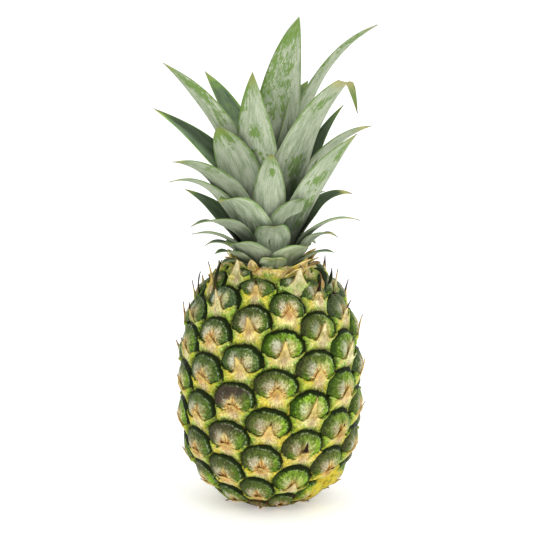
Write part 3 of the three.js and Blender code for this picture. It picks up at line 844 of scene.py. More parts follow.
def cap_group(palette):
    """The cap's colour, with its painted highlights and painted shadow, and its fine relief, from the place
    in the eye.
    """
    group, given, put = new_group("cap skin", EYE_INPUTS, EYE_OUTPUTS)
    place, tint, edges, draws, wear = [split(vector) for vector in given]
    x, y, gap = place
    brown, fresh, bloom = tint
    below = edges[0]
    orange, dry, spine = wear
    seed = draws[0] * 60.0
    spot = join(x * 0.1, y * 0.1, seed)
    cloud = noise(spot, 2.0, 3.0, 0.6)
    mottle = noise(spot, 7.0, 4.0, 0.65)
    grain = noise(spot, 20.0, 2.0, 0.6)
    lines = fan_out(x, y, seed, 2.4, 0.1)
    fibres = fan_out(x, y, seed + 7.0, 6.0, 0.25)
    loose = (mottle - 0.5) * 4.0 + (lines - 0.5) * 3.0

    # Dark green outside and mid green inside, with a fresher, brighter right side that is partly the cap's
    # own green and partly painted light from the right, and brown stains above.
    inside = -gap + loose
    colour = mix(ramp(inside, 0.8, 5.0), palette.cap_deep, palette.cap_green)
    side = ramp(x + (fresh - 0.55) * 26.0 + loose * 2.0, -5.0, 6.0)
    side = side * ramp(fresh, 0.0, 0.8) * ramp(inside, 1.2, 3.4)
    colour = mix(side * ramp(lines, 0.36, 0.6, 0.5, 1.0), colour, palette.cap_fresh)
    high = y + x * -0.45 + (cloud - 0.5) * 14.0
    stain = ramp(high, -8.0, 0.0) * brown * ramp(mottle, 0.3, 0.48)
    colour = mix(stain * 0.95, colour, palette.cap_brown)
    colour = shade(colour, ramp(fresh, 0.0, 0.5, 0.8, 1.0))
    dull = ramp(fresh, 0.45, 0.0, 0.0, 0.75) * ramp(orange, 0.3, 1.0, 1.0, 0.25)
    colour = mix(dull, colour, palette.cap_slate)
    colour = shade(colour, ramp(lines, 0.38, 0.62, 0.85, 1.18))
    colour = shade(colour, ramp(mottle, 0.38, 0.6, 0.72, 1.3))
    colour = shade(colour, ramp(grain, 0.38, 0.62, 0.88, 1.12))

    # Pale waxy bloom on the two lobes, broken by soft lines that fan out from the spine's foot. Its broad
    # bright patches are partly painted highlight, where the convex lobes would catch the light.
    lobe_x = (abs(x + 0.3) - 4.6) * 0.2
    lobe_y = (y + 4.8 + (cloud - 0.5) * 6.0) * 0.2
    lined = ramp(cloud, 0.4, 0.62, -0.2, -1.3)
    lobe = hypot(lobe_x, lobe_y) + (lines - 0.5) * lined + (mottle - 0.5) * -1.7
    wax_and_highlight = ramp(lobe, 1.3, 0.15) * ramp(bloom, 0.0, 1.0, 0.55, 1.2)
    wax_and_highlight = wax_and_highlight * ((1.0 - stain * 0.75) * ramp(inside, 1.0, 4.0, 0.2, 1.0))
    wax_and_highlight = wax_and_highlight * (1.0 - ramp(x, -2.0, 6.0, 0.0, 0.7) * dry)
    lime = ramp(x, -7.0, 7.0, 0.0, 0.6) + (side * 0.5 + (cloud - 0.5) * 2.0)
    wax_tone = mix(least(most(lime, 0.0), 1.0), palette.cap_bloom_and_highlight, palette.cap_lime)
    wax_tone = mix(ramp(orange, 0.4, 1.1, 0.0, 0.55), wax_tone, palette.bract_pink)
    colour = mix(least(wax_and_highlight, 0.88), colour, wax_tone)
    colour = shade(colour, ramp(fibres, 0.36, 0.6, 0.9, 1.06))
    # Painted highlight: pale glints on the lobes, stronger where the bloom is.
    painted_glint = ramp(lines * 0.25 + mottle * 0.75, 0.53, 0.6) * ramp(lobe, 1.0, 0.2)
    colour = mix(painted_glint * (bloom * 0.6), colour, palette.cap_highlight)

    # Dry cream and tan fibres rise between the lobes from the spine's foot.
    short = ramp(spine, 10.0, 5.0, 0.45, 1.0)
    reach = ramp(y, 0.0, -11.0, 1.0, 7.5) + (lines - 0.5) * 9.0
    wedge = ramp(abs(x) - reach, 1.0, -3.0) * short
    wedge = wedge * ramp(y + loose * 0.8, 1.5, -5.0)
    dry_tone = mix(ramp(lines, 0.44, 0.56), palette.bract_tan, palette.bract_cream)
    colour = mix(wedge * ramp(fibres, 0.38, 0.52, 0.6, 1.0), colour, dry_tone)
    heart = ramp(lobe, 1.5, 0.7) * ramp(y, 0.0, -5.0)
    cracks = bell(lines, 0.47, 0.03) * heart
    colour = mix(cracks * ramp(orange, 0.0, 1.0, 0.2, 1.0), colour, palette.bract_brown)
    pits = ramp(grain, 0.42, 0.34) * ramp(cloud, 0.42, 0.56)
    colour = mix(pits * 0.7, colour, palette.cap_rim)
    fleck = ramp(grain, 0.6, 0.68) * ramp(inside, 1.0, 4.0, 0.05, 0.2)
    colour = mix(fleck, colour, palette.cap_bloom_and_highlight)

    # A near-black rim, broadest above and to the right, runs ragged into the green.
    heavy = ramp(x, -12.0, 8.0, -0.6, 0.5) + ramp(y, -4.0, 4.0, 0.0, 0.5)
    rim = -gap + loose * 0.6 - heavy
    rim = rim + ((cloud - 0.5) * 3.0 + ramp(dry, 0.2, 0.8, 0.0, 0.9))
    rim = rim + ramp(x, -7.0, -12.0, 0.0, 1.3)
    colour = mix(ramp(rim, 3.2, 0.8, 0.0, 0.8), colour, palette.cap_deep)
    # Painted highlight: a thin, broken pale line just inside the dark band, toward the upper right.
    painted_rim_highlight = bell(rim, 2.5, 0.6) * ramp(x + y, -4.0, 6.0)
    colour = mix(painted_rim_highlight * ramp(mottle, 0.46, 0.58, 0.0, 0.5), colour, palette.cap_bloom_and_highlight)
    colour = mix(ramp(rim, 2.0, 0.9), colour, palette.cap_rim)
    # Painted shadow: a dark line where the lobes tuck in under the bract's edge, fainter on dry eyes.
    tuck = ramp(below, -1.1, -0.1) * ramp(dry, 0.2, 1.0, 0.85, 0.15)
    tuck = tuck * ramp(mottle, 0.35, 0.55, 0.5, 1.0)
    colour = mix(tuck, colour, palette.cap_rim)
    feed(put, {"Colour": colour, "Height": mottle + (lines + fibres * 0.4)})
    return group


# The middle of a patch low on one side that ripened first, how far it reaches, the width of its fading
# edge, and how far that edge wanders, in metres.
RIPE_SPOT = (36 * MM, -27 * MM, 18 * MM)
RIPE_REACH = 18 * MM
RIPE_EDGE = 7 * MM
RIPE_WANDER = 26 * MM


def ripe_group():
    """How far the ripe patch's yellow covers the skin at a place."""
    group, (place,), put = new_group("ripe patch", ["Place"], ["Ripe"])
    away = hypot(*[part - middle for part, middle in zip(split(place), RIPE_SPOT)])
    away = away + (noise(place, 110.0, 4.0, 0.6) - 0.5) * RIPE_WANDER
    broken = ramp(noise(place, 330.0, 3.0, 0.6), 0.36, 0.56, 0.45, 0.9)
    feed(put, {"Ripe": ramp(away, RIPE_REACH, RIPE_REACH - RIPE_EDGE) * broken})
    return group


# The cut stalk under the fruit: its radius and height in metres, and how fast the rings of its wood
# follow each other, in radians a metre. The rind is worn and brown up to a little above it.
STALK_RADIUS = 20.5 * MM
STALK_HEIGHT = 0.9 * MM
WOOD_RINGS = 4200.0
WORN_HEIGHT = 16 * MM

# How deep the fine relief of the skin is, in metres, and how strongly it shows.
SKIN_RELIEF = (0.9 * MM, 0.9)


def rind_material(palette, bract, cap, ripe):
    """Caps, bracts and grooves of the whole skin."""
    tree, shader = new_material("fruit rind", 0.5, 0.08)
    cap_facts = stored(tree, "cap_place", "cap_tone", "eye_edge", "eye_seed", "cap_wear")
    bract_facts = stored(tree, "bract_place", "bract_tone", "eye_edge", "eye_seed", "cap_wear")
    bract_colour, bract_height = use_group(bract, *bract_facts)
    cap_colour, cap_height = use_group(cap, *cap_facts)
    gap = split(cap_facts[0])[2]
    below = split(cap_facts[2])[0]
    dry = split(cap_facts[4])[1]
    loose = (bract_height - 1.2) * ramp(dry, 0.0, 1.0, 0.6, 3.5)
    on_cap = ramp(below + loose, 0.15, -0.25) * ramp(gap, 0.15, -0.15)
    spot = object_place(tree)
    colour = mix(on_cap, bract_colour, cap_colour)
    colour = mix(use_group(ripe, spot)[0], colour, palette.bract_yellow)
    east, north, height = split(spot)
    ring = hypot(east, north)
    grit = noise(spot, 420.0, 4.0, 0.65)
    worn = ramp(height, WORN_HEIGHT, 3 * MM) * ramp(grit, 0.42, 0.58, 0.0, 0.75)
    colour = mix(worn, colour, palette.bract_brown)
    wood = mix(ramp(grit + ring * 18.0, 0.55, 0.8), palette.bract_cream, palette.cap_brown)
    wood = shade(wood, ramp(calculate("SINE", ring * WOOD_RINGS), -1.0, 1.0, 0.75, 1.0))
    cut = ramp(height, STALK_HEIGHT, 0.3 * MM) * ramp(ring, STALK_RADIUS, 19 * MM)
    colour = mix(cut, colour, wood)
    height = on_cap * cap_height + (1.0 - on_cap) * bract_height
    roughness = ramp(on_cap, 0.0, 1.0, 0.6, 0.42)
    normal = relief(height, *SKIN_RELIEF)
    feed(shader, {"Base Color": colour, "Roughness": roughness, "Normal": normal})


def bract_material(palette, bract, ripe):
    """The free upper part of each bract, with its spine."""
    tree, shader = new_material("bract", 0.6, 0.08)
    facts = stored(tree, "bract_place", "bract_tone", "eye_edge", "eye_seed", "cap_wear")
    colour, height = use_group(bract, *facts)
    colour = mix(use_group(ripe, object_place(tree))[0], colour, palette.bract_yellow)
    feed(shader, {"Base Color": colour, "Normal": relief(height, *SKIN_RELIEF)})


def collar_material(palette):
    """The papery bracts and dry spines round the crown's foot."""
    tree, shader = new_material("dry bract", 0.65, 0.1)
    place, draws = stored(tree, "leaf_place", "leaf_draw")
    across, along, size = split(place)
    green, brown, seed = split(draws)
    run = along * size
    seed = seed * 60.0
    fine = noise(join(across * 2.2, run * 0.09, seed), 2.0, 4.0, 0.65)
    patch = noise(join(across * 0.9, run * 0.2, seed), 1.3, 3.0, 0.6)
    colour = mix(ramp(fine, 0.38, 0.6), palette.bract_pink, palette.bract_cream)
    colour = mix(ramp(patch, 0.42, 0.6) * 0.6, colour, palette.bract_yellow)
    leafy = green * ramp(along + (fine - 0.5) * 1.2, 0.9, 0.2)
    colour = mix(leafy, colour, palette.bract_green)
    dry = brown * 1.3 + (patch - 0.5) * 1.6
    dry = ramp(dry + along * 0.35, 0.55, 1.25)
    colour = mix(dry * 0.8, colour, palette.bract_brown)
    black = ramp(brown + along * 0.35 + (fine - 0.5) * 0.8, 1.1, 1.4)
    colour = mix(black, colour, palette.cap_rim)
    colour = shade(colour, ramp(fine, 0.35, 0.62, 0.74, 1.14))
    feed(shader, {"Base Color": colour, "Normal": relief(fine, 0.0005, 0.8)})


LEAF_INPUTS = ("Place", "Draw", "Wear", "Tip")
LEAF_OUTPUTS = ("Streaks", "Rubbed", "Margin", "Foot shade", "Yellow", "Brown", "Dust")


def leaf_group():
    """A leaf's masks.

    Place holds the share across, the share along and the length; Draw two draws; Wear the worn share and
    the half width; Tip the yellow and brown of the tip and where the yellow starts.
    """
    group, given, put = new_group("leaf wear", LEAF_INPUTS, LEAF_OUTPUTS)
    place, draws, wear, ends = [split(vector) for vector in given]
    across, along, size = place
    first, second, _ = draws
    worn, half, _ = wear
    yellow, brown, start = ends
    run = along * size
    wide = across * half
    seed = first * 50.0
    fine = noise(join(wide * 0.8, run * 0.045, seed), 2.0, 5.0, 0.7)
    broad = noise(join(wide * 0.16, run * 0.05, second * 50.0), 1.5, 4.0, 0.6)
    blotch = noise(join(wide * 0.3, run * 0.15, seed), 1.3, 5.0, 0.72)
    dust = noise(join(wide * 1.6, run * 1.1, seed), 1.6, 3.0, 0.75)

    # Bloom is rubbed off in ragged patches where the leaf is worn, and lightly here and there.
    loose = (fine - 0.5) * 0.3 + (dust - 0.5) * 0.25
    rubbed = ramp(blotch + loose + worn * 0.24, 0.645, 0.7)
    side = abs(across) + (blotch - 0.5) * 0.5
    side = ramp(side, 0.82, 0.96) * ramp(along, 0.3, 0.7, 0.2, 0.9)
    tip = ramp(along + (blotch - 0.5) * 0.35, 0.8, 0.98)
    # Painted shade over each leaf's foot, where it goes down between the others; short leaves get less.
    foot = ramp(along + (broad - 0.5) * 0.25, 0.48, 0.14)
    ragged = (blotch - 0.5) * 0.25
    past = along + ragged - start
    dying = ramp(past, -0.04, 0.04) * ramp(past, 0.07, 0.12, 1.0, 0.15)
    masks = {
        "Streaks": fine * 0.6 + broad * 0.4,
        "Rubbed": rubbed * ramp(fine, 0.3, 0.55, 0.6, 1.0),
        "Margin": most(side, tip),
        "Foot shade": foot * ramp(size, 20.0, 45.0, 0.35, 1.0),
        "Yellow": dying * yellow,
        "Brown": ramp(along + ragged * 0.4, 0.93, 0.98) * brown,
        "Dust": dust,
    }
    feed(put, masks)
    return group


def leaf_material(name, group, palette, base, pale, share, roughness):
    """One face of the leaves: base and pale tones streaked along the leaf, worn green patches, painted light
    and shade on each half, and painted shade at the feet.
    """
    tree, shader = new_material(name, roughness, 0.18)
    facts = stored(tree, "leaf_place", "leaf_draw", "leaf_wear_and_light", "leaf_tip")
    streaks, rubbed, margin, foot, yellow, brown, dust = use_group(group, *facts)
    painted_light = split(facts[2])[2]
    colour = mix(ramp(streaks, 0.4, 0.6), base, pale)
    colour = shade(colour, ramp(dust, 0.36, 0.62, 0.86, 1.08))
    colour = mix(rubbed * share, colour, palette.leaf_green)
    colour = mix(margin * 0.85, colour, palette.leaf_green)
    # Painted light and shade: each half of a leaf drawn lighter or darker.
    colour = shade(colour, painted_light)
    # Painted shade at the feet, down between the other leaves.
    colour = mix(foot * 0.85, colour, palette.leaf_foot_shade)
    colour = mix(yellow, colour, palette.leaf_yellow)
    colour = mix(brown, colour, palette.leaf_dry)
    feed(shader, {"Base Color": colour, "Normal": relief(streaks + dust * 0.3, 0.0004, 0.7)})


# ---- the rind ----


class PINEAPPLE_OT_rind(bpy.types.Operator):
    """The whole skin of the fruit in one closed surface, from the cut stalk to the crown's dimple"""

    bl_idname = "pineapple.rind"
    bl_label = "Fruit rind"

    COLUMNS_PER_EYE = 26
    ROWS_PER_FALL = 2

    # How far up the side its first row of points stands from the cut stalk's edge.
    FOOT_EDGE = 0.6 * MM

    def execute(self, context):
        fruit = context.scene.pineapple_fruit
        eyes = Eyes(fruit, context.scene.pineapple_eye)
        low, high = eyes.side.arc[[0, -1]]
        arcs = np.arange(low + self.FOOT_EDGE, high, fruit.eye_fall / self.ROWS_PER_FALL)
        radius, z, _, _ = eyes.side.at(arcs)
        foot = eyes.side.radius[0]
        under = [(0.0, 0.0), (foot * 0.5, 0.0), (foot, 0.0)]
        dimple = [(fruit.dimple_radius, fruit.dimple_floor), (0.0, fruit.dimple_floor)]
        outline = [*under, *zip(radius, z), *dimple]
        mesh, numbers = new_spun("fruit_rind", outline, eyes.ROWS * self.COLUMNS_PER_EYE)
        self.raise_eyes(mesh, eyes, arcs, numbers - len(under))
        new_piece(mesh, "fruit_rind", "fruit", "fruit rind")
        return {"FINISHED"}

    def raise_eyes(self, mesh, eyes, arcs, row):
        """Moves the rows of points on the side to where the eyes' skin lies; the others only turn."""
        points = get_points(mesh)
        low, high = eyes.side.arc[[0, -1]]
        on_side = (row >= 0) & (row < len(arcs))
        arc = np.where(on_side, arcs[np.clip(row, 0, len(arcs) - 1)], np.where(row < 0, low, high))
        angle = np.degrees(np.arctan2(points[:, 0], -points[:, 1])) + eyes.drift(arc) + eyes.fruit.first_angle
        found = eyes.read(wrap(angle), arc)
        base = smooth(arc, low, low + 4 * MM)
        lift = lerp(eyes.fruit.skin_depth, eyes.skin_lift(found), base)
        raised = eyes.surface(angle, arc, lift)
        turn = np.radians(eyes.squeeze(wrap(angle)))
        out = np.hypot(points[:, 0], points[:, 1])
        flat = np.stack([out * np.sin(turn), -out * np.cos(turn), points[:, 2]], axis=-1)
        set_points(mesh, np.where(on_side[:, None], raised, flat))
        store_eye(mesh, eyes, found, np.zeros(len(points)))


# ---- the bracts ----


class PINEAPPLE_OT_bracts(bpy.types.Operator):
    """The free upper part of every bract: its two wings and its spine"""

    bl_idname = "pineapple.bracts"
    bl_label = "Bracts and spines"

    ACROSS = 26
    UP = 12
    HALF_WIDTH = 16.0 * MM
    THICKNESS = 0.55 * MM

    # The last few eyes run in under the fruit and have no free bract.
    BARE_AT_BASE = 5

    def execute(self, context):
        eyes = Eyes(context.scene.pineapple_fruit, context.scene.pineapple_eye)
        numbers = np.arange(eyes.TOP, eyes.BOTTOM - self.BARE_AT_BASE)
        mesh, u, v = new_sheets("bracts", len(numbers), self.ACROSS, self.UP)
        k = np.repeat(numbers, len(u)).astype(float)
        self.shape(mesh, eyes, k, np.tile(u, len(numbers)), np.tile(v, len(numbers)))
        give_wall(new_piece(mesh, "fruit_rind", "fruit", "bract"), self.THICKNESS, 1.0)
        return {"FINISHED"}

    def shape(self, mesh, eyes, k, u, v):
        """Lays each bract's sheet over its eye: across by u, and from its hidden foot to its edge by v."""
        x = self.HALF_WIDTH * u * np.abs(u) ** 0.5
        wing = eyes.wing_edge(k, x)
        top = wing + eyes.spine_edge(k, x)
        foot = lerp(-17.5, -9.8, np.abs(x / self.HALF_WIDTH) ** 1.2) * MM
        y = lerp(foot, top, v**0.8)
        over = np.maximum(y - wing, 0)
        share = np.clip(over / eyes.of(k, SPINE), 0, 1)
        shift = eyes.of(k, LEAN) * share**1.3
        angle, arc = eyes.place(k)
        spot_angle = angle + np.degrees((x + shift) / eyes.ring)
        spot_arc = arc + y - over
        found = eyes.read(wrap(spot_angle), spot_arc)
        own = (found["cap"] == k) | (found["bract"] == k)
        other = np.where(own, found["other"], found["gap"])
        broad = smooth(eyes.of(k, HALF), 6.5 * MM, 8.5 * MM)
        other = np.maximum(other, lerp(-9, 3.5, broad) * MM)
        lift = eyes.bract_lift(k, x, y - over) * smooth(other, -0.6 * MM, 2.4 * MM)
        proud = lerp(-1.0, 0.2, smooth(v, 0.15, 0.6)) * MM
        proud -= 1.5 * MM * smooth(eyes.of(k, DRY), 0.3, 0.7) * smooth(np.abs(x), 2 * MM, 5 * MM)
        proud -= 0.5 * MM * smooth(np.abs(x), 12.5 * MM, 15.2 * MM)
        proud += 1.3 * MM * broad * smooth(v, 0.3, 0.7)
        points = eyes.surface(spot_angle, spot_arc, lift + proud)
        points += self.spine_reach(eyes, k, spot_angle, spot_arc, over, share)
        set_points(mesh, points)
        facts = {"cap": k, "bract": k, "cap_x": x, "cap_y": y, "x": x, "y": y, "gap": other, "other": other}
        facts["below"] = np.where(over > 0, 0, wing - y)
        near = 0.1 * MM
        slope = (eyes.spine_edge(k, x + near) - eyes.spine_edge(k, x - near)) / (2 * near)
        facts["cap_below"] = (top - y) / np.hypot(1, slope)
        facts["margin"] = np.full(len(k), 9 * MM)
        store_eye(mesh, eyes, facts, share)

    def spine_reach(self, eyes, k, angle, arc, over, share):
        """How far each point of a spine stands on from its foot, along the side and outward."""
        _, _, out_r, out_z = eyes.side.at(arc)
        lean = np.radians(lerp(8, 16, smooth(arc, 0.02, 0.06)) + 14 * (draw(k, 7) - 0.5))
        inward = np.arcsin(np.clip(out_z, -1, 1))
        lean = np.maximum(lean, inward + np.radians(4))
        dry = eyes.of(k, DRY)
        lean = lean + share * np.radians(14 * (draw(k, 8) - 0.35) + 20 * dry * (draw(k, 10) - 0.3))
        along_r = -out_z * np.cos(lean) + out_r * np.sin(lean)
        along_z = out_r * np.cos(lean) + out_z * np.sin(lean)
        turn = np.radians(eyes.squeeze(wrap(angle)))
        reach = over[:, None]
        return reach * np.stack([along_r * np.sin(turn), -along_r * np.cos(turn), along_z], axis=-1)


# ---- the crown ----

# The stem's outline as pairs of radius and height, in millimetres.
STEM_OUTLINE = ((19, 157.3), (18, 164), (16, 175), (13, 190), (9, 205), (4, 218))

# The leaves that face the front and sides, from the crown's foot upward, in degrees and millimetres.
# Each row holds: the azimuth round the stem (0 at the front, + toward +X), the height of its root, its
# rise above level at the root, the middle and the tip, its length, its width, its sideways bend, its
# twist, and its fullness, which is greater where the blade keeps its width nearly to the tip.
FRONT_LEAVES = (
    (-60, 159, 40, 18, -38, 20, 12, 0, 0, 1.5),
    (-50, 160, 50, 26, -18, 32, 16, 0, 0, 1.6),
    (70, 159, 45, 28, -16, 29, 15, 0, 0, 1.6),
    (5, 159, 62, 42, 12, 16, 18, 0, 0, 2.2),
    (-31, 160, 65, 32, -7, 41, 28, 0, 0, 1.8),
    (35, 160, 65, 37, 3, 31, 26, 0, 0, 2.0),
    (-86, 162, 59, 29, -38, 30, 15, 0, 0, 1.6),
    (-85, 165, 65, 23, -11, 40, 18, 0, 10, 1.6),
    (74, 162, 57, 43, -39, 37, 20, 0, -8, 1.8),
    (-55, 171, 64, 24, -21, 53, 22, -1, 10, 1.6),
    (81, 167, 63, 32, -19, 52, 20, 0, -8, 1.6),
    (4, 170, 82, 62, -8, 26, 24, 1, 0, 2.3),
    (-37, 173, 77, 49, -18, 56, 30, -1, 0, 1.8),
    (31, 174, 80, 57, 17, 44, 25, 1, 0, 2.2),
    (-101, 165, 72, 47, 24, 60, 20, -1, -20, 1.5),
    (93, 169, 72, 53, -16, 58, 18, 1, 25, 1.5),
    (-72, 171, 70, 48, -16, 76, 21, 0, 14, 1.6),
    (53, 172, 75, 56, 40, 95, 26, 0, -14, 1.5),
    (-58, 177, 73, 47, 2, 84, 24, -1, 22, 1.7),
    (-3, 175, 78, 68, 40, 71, 22, 5, 0, 2.0),
    (-110, 184, 80, 51, 45, 70, 18, 0, -15, 1.5),
    (98, 182, 74, 57, 9, 91, 20, 1, -42, 1.5),
    (105, 184, 76, 68, 47, 88, 17, 0, 25, 1.5),
    (-95, 186, 79, 48, 31, 101, 24, -1, -28, 1.5),
    (-54, 182, 79, 69, 62, 76, 33, 0, 22, 4.0),
    (-25, 193, 84, 72, 92, 98, 29, 4, 0, 1.9),
    (-72, 196, 80, 58, 37, 117, 23, 0, 30, 1.6),
    (-130, 198, 82, 61, 44, 99, 30, 0, 0, 1.7),
    (92, 200, 84, 67, 25, 136, 21, 0, -30, 1.6),
    (16, 204, 87, 78, 56, 124, 31, 7, 0, 1.9),
    (55, 206, 86, 80, 77, 80, 20, 0, 10, 1.6),
    (-80, 209, 87, 80, 72, 54, 17, 0, 0, 1.6),
    (150, 210, 87, 82, 78, 80, 18, 0, 0, 1.6),
    (20, 212, 88, 84, 82, 52, 14, 0, 0, 1.6),
)

# One long leaf at the right is broken over: its last stretch hangs from a sharp fold.
FOLDED_LEAF = (46, 184, 88, 59, 22, 137, 33, 1, -6, 1.1)
FOLD_AT = 0.82
FOLD_HANG = -97


# Where the bloom is rubbed off the front leaves. Each row holds: the leaf's number in the list above
# (-1 for the folded leaf), the place along it and across it, how far the patch reaches along and across,
# all as shares, and how strong it is.
WORN = (
    (29, 0.70, 0.10, 0.17, 0.60, 0.75),
    (29, 0.82, -0.85, 0.12, 0.40, 0.9),
    (29, 0.60, -0.90, 0.12, 0.35, 0.9),
    (29, 0.95, 0.00, 0.10, 1.20, 0.9),
    (29, 0.50, -0.15, 0.07, 0.40, 0.6),
    (25, 0.86, -0.80, 0.10, 0.45, 1.1),
    (25, 0.95, 0.00, 0.07, 1.20, 0.9),
    (25, 0.72, -0.95, 0.10, 0.35, 0.9),
    (25, 0.62, 0.09, 0.05, 0.45, 1.3),
    (25, 0.50, -0.10, 0.03, 0.25, 0.9),
    (25, 0.47, 0.45, 0.03, 0.25, 1.0),
    (24, 0.95, 0.00, 0.05, 0.90, 1.1),
    (24, 0.87, 0.45, 0.05, 0.45, 1.0),
    (24, 0.88, -0.70, 0.04, 0.30, 0.8),
    (19, 0.77, 0.20, 0.05, 0.45, 1.3),
    (19, 0.94, 0.60, 0.08, 0.50, 1.1),
    (-1, 0.36, 0.00, 0.06, 0.50, 1.3),
    (-1, 0.25, 0.25, 0.04, 0.35, 1.1),
    (-1, 0.68, -0.30, 0.06, 0.45, 1.0),
    (-1, 0.74, 0.30, 0.03, 0.30, 0.9),
    (17, 0.78, 0.30, 0.05, 0.50, 1.2),
    (17, 0.87, 0.20, 0.06, 0.50, 1.0),
    (17, 0.57, -0.10, 0.06, 0.50, 1.2),
    (17, 0.64, 0.35, 0.03, 0.35, 1.0),
    (17, 0.38, 0.10, 0.08, 0.50, 1.2),
    (17, 0.23, 0.00, 0.05, 0.40, 1.1),
    (28, 0.90, 0.00, 0.08, 0.90, 0.8),
    (28, 0.75, -0.60, 0.15, 0.30, 0.6),
    (26, 0.85, 0.30, 0.08, 0.70, 1.0),
    (26, 0.72, 0.60, 0.10, 0.50, 1.0),
    (26, 0.58, 0.30, 0.06, 0.40, 0.9),
    (27, 0.70, 0.00, 0.30, 0.90, 0.7),
    (18, 0.74, 0.50, 0.06, 0.45, 0.9),
    (13, 0.48, 0.50, 0.06, 0.40, 1.0),
    (12, 0.90, 0.10, 0.06, 0.80, 1.0),
    (9, 0.75, 0.00, 0.05, 0.50, 0.8),
    (21, 0.60, 0.30, 0.20, 0.50, 0.6),
    (11, 0.55, -0.70, 0.10, 0.30, 0.6),
    (3, 0.60, 0.00, 0.15, 0.60, 0.6),
)

# Tips that are dying back, by the leaf's number: shares of yellow and brown, and where the yellow starts.
TIPS = {
    -1: (0.7, 0.5, 0.79),
    3: (0.8, 0.0, 0.66),
    6: (0.5, 0.9, 0.85),
    7: (0.3, 1.0, 0.9),
    8: (0.8, 0.3, 0.82),
    9: (0.3, 0.5, 0.9),
    10: (0.7, 0.1, 0.85),
    12: (0.6, 0.1, 0.93),
    14: (0.5, 0.6, 0.92),
    15: (0.9, 0.6, 0.88),
    16: (0.6, 0.5, 0.92),
    17: (0.5, 0.3, 0.93),
    18: (0.6, 0.2, 0.93),
    21: (0.7, 0.2, 0.9),
    26: (0.4, 0.2, 0.94),
    28: (0.4, 0.2, 0.95),
}

# Painted light and shade: how much lighter (above 1) or darker (below 1) each leaf's left and right halves
# are drawn beside the others', by number, where that is not 1.
LEAF_PAINTED_LIGHT = {
    3: (1.9, 1.9),
    5: (1.3, 1.3),
    8: (0.85, 0.85),
    11: (1.12, 1.2),
    12: (1.35, 1.2),
    13: (0.88, 1.05),
    14: (1.1, 1.1),
    18: (0.9, 0.9),
    20: (0.8, 0.8),
    21: (0.85, 0.85),
    22: (1.1, 0.9),
    23: (0.85, 2.3),
    24: (1.12, 0.88),
    27: (1.9, 1.6),
    28: (0.95, 0.95),
}


# The golden ratio's share of a turn, by which leaves grow round a stem.
GOLDEN = 0.618034


def stem_radius(height):
    """The stem's radius at a height, both in millimetres."""
    radii, heights = zip(*STEM_OUTLINE)
    return np.interp(height, heights, radii)


def back_leaves(count):
    """The leaves of the back, set by turns of the golden angle and growing taller up the stem."""
    rows = []
    for i in range(count):
        up = i / (count - 1)
        azimuth = 180 + ((i * GOLDEN) % 1 - 0.5) * 94 + 6 * (draw(i, 2) - 0.5)
        root = lerp(58, 86, up)
        middle = lerp(26, 66, up) + 8 * (draw(i, 3) - 0.5)
        tip = lerp(-34, 32, up) + 20 * (draw(i, 4) - 0.5)
        long = lerp(32, 84, up**0.8) * (0.9 + 0.2 * draw(i, 5))
        wide = lerp(17, 28, math.sqrt(up))
        twist = 16 * (draw(i, 6) - 0.5)
        rows.append((azimuth, lerp(160, 203, up), root, middle, tip, long, wide, 0, twist, 1.6))
    return rows


class Blade:
    """A leaf made from its row: its midline, its width, and the sheet of points laid along it."""

    STEPS = 240

    # Where along it a leaf is widest, how short the broken leaf's fold is, and the least half width.
    WIDEST_AT = 0.35
    FOLD_LENGTH = 0.05
    THINNEST = 0.15 * MM

    def __init__(self, row, folded=False, radius=None):
        """The root stands on the stem, or at a radius in millimetres where one is given."""
        azimuth, height, root, middle, tip, self.long, self.wide, bend, twist, self.fullness = row
        turn = math.radians(azimuth)
        self.out = np.array([math.sin(turn), -math.cos(turn), 0.0])
        side = np.array([math.cos(turn), math.sin(turn), 0.0])
        up = np.array([0.0, 0.0, 1.0])
        t = self.shares = np.linspace(0, 1, self.STEPS + 1)
        rise = root * (1 - t) * (1 - 2 * t) + 4 * middle * t * (1 - t) + tip * t * (2 * t - 1)
        if folded:
            rise = rise + np.clip((t - FOLD_AT) / self.FOLD_LENGTH, 0, 1) * FOLD_HANG
        rise = np.radians(rise)[:, None]
        bend = np.radians(bend * t)[:, None]
        roll = np.radians(twist * np.minimum(1, 2 * t))[:, None]
        level = np.cos(rise) * self.out + np.sin(rise) * up
        along = np.cos(bend) * level + np.sin(bend) * side
        flat = np.cos(bend) * side - np.sin(bend) * level
        inner = np.cross(along, flat)
        across = np.cos(roll) * flat + np.sin(roll) * inner
        inner = np.cos(roll) * inner - np.sin(roll) * flat
        steps = along[:-1] * (self.long * MM / self.STEPS)
        radius = stem_radius(height) if radius is None else radius
        start = self.out * radius * MM + up * height * MM
        place = start + np.vstack([np.zeros(3), np.cumsum(steps, axis=0)])
        self.lines = (place, along, across, inner)

    def half_width(self, t):
        """Half the width at the shares t along: a little narrower at the foot, and tapering to the tip."""
        taper = np.clip((t - self.WIDEST_AT) / (1 - self.WIDEST_AT), 0, 1)
        foot = lerp(0.8, 1, np.sin(np.clip(t / self.WIDEST_AT, 0, 1) * math.pi / 2))
        half = self.wide * MM / 2 * np.where(t < self.WIDEST_AT, foot, (1 - taper**self.fullness) ** 0.9)
        return np.maximum(half, self.THINNEST)

    def sheet(self, t, x, lift, sunk):
        """Points at the shares t along: x across, lifted toward the inner face and sunk back at the root."""
        at = [[np.interp(t, self.shares, part) for part in line.T] for line in self.lines]
        place, along, across, inner = [np.stack(parts, axis=-1) for parts in at]
        return place + x[:, None] * across + lift[:, None] * inner - sunk[:, None] * along


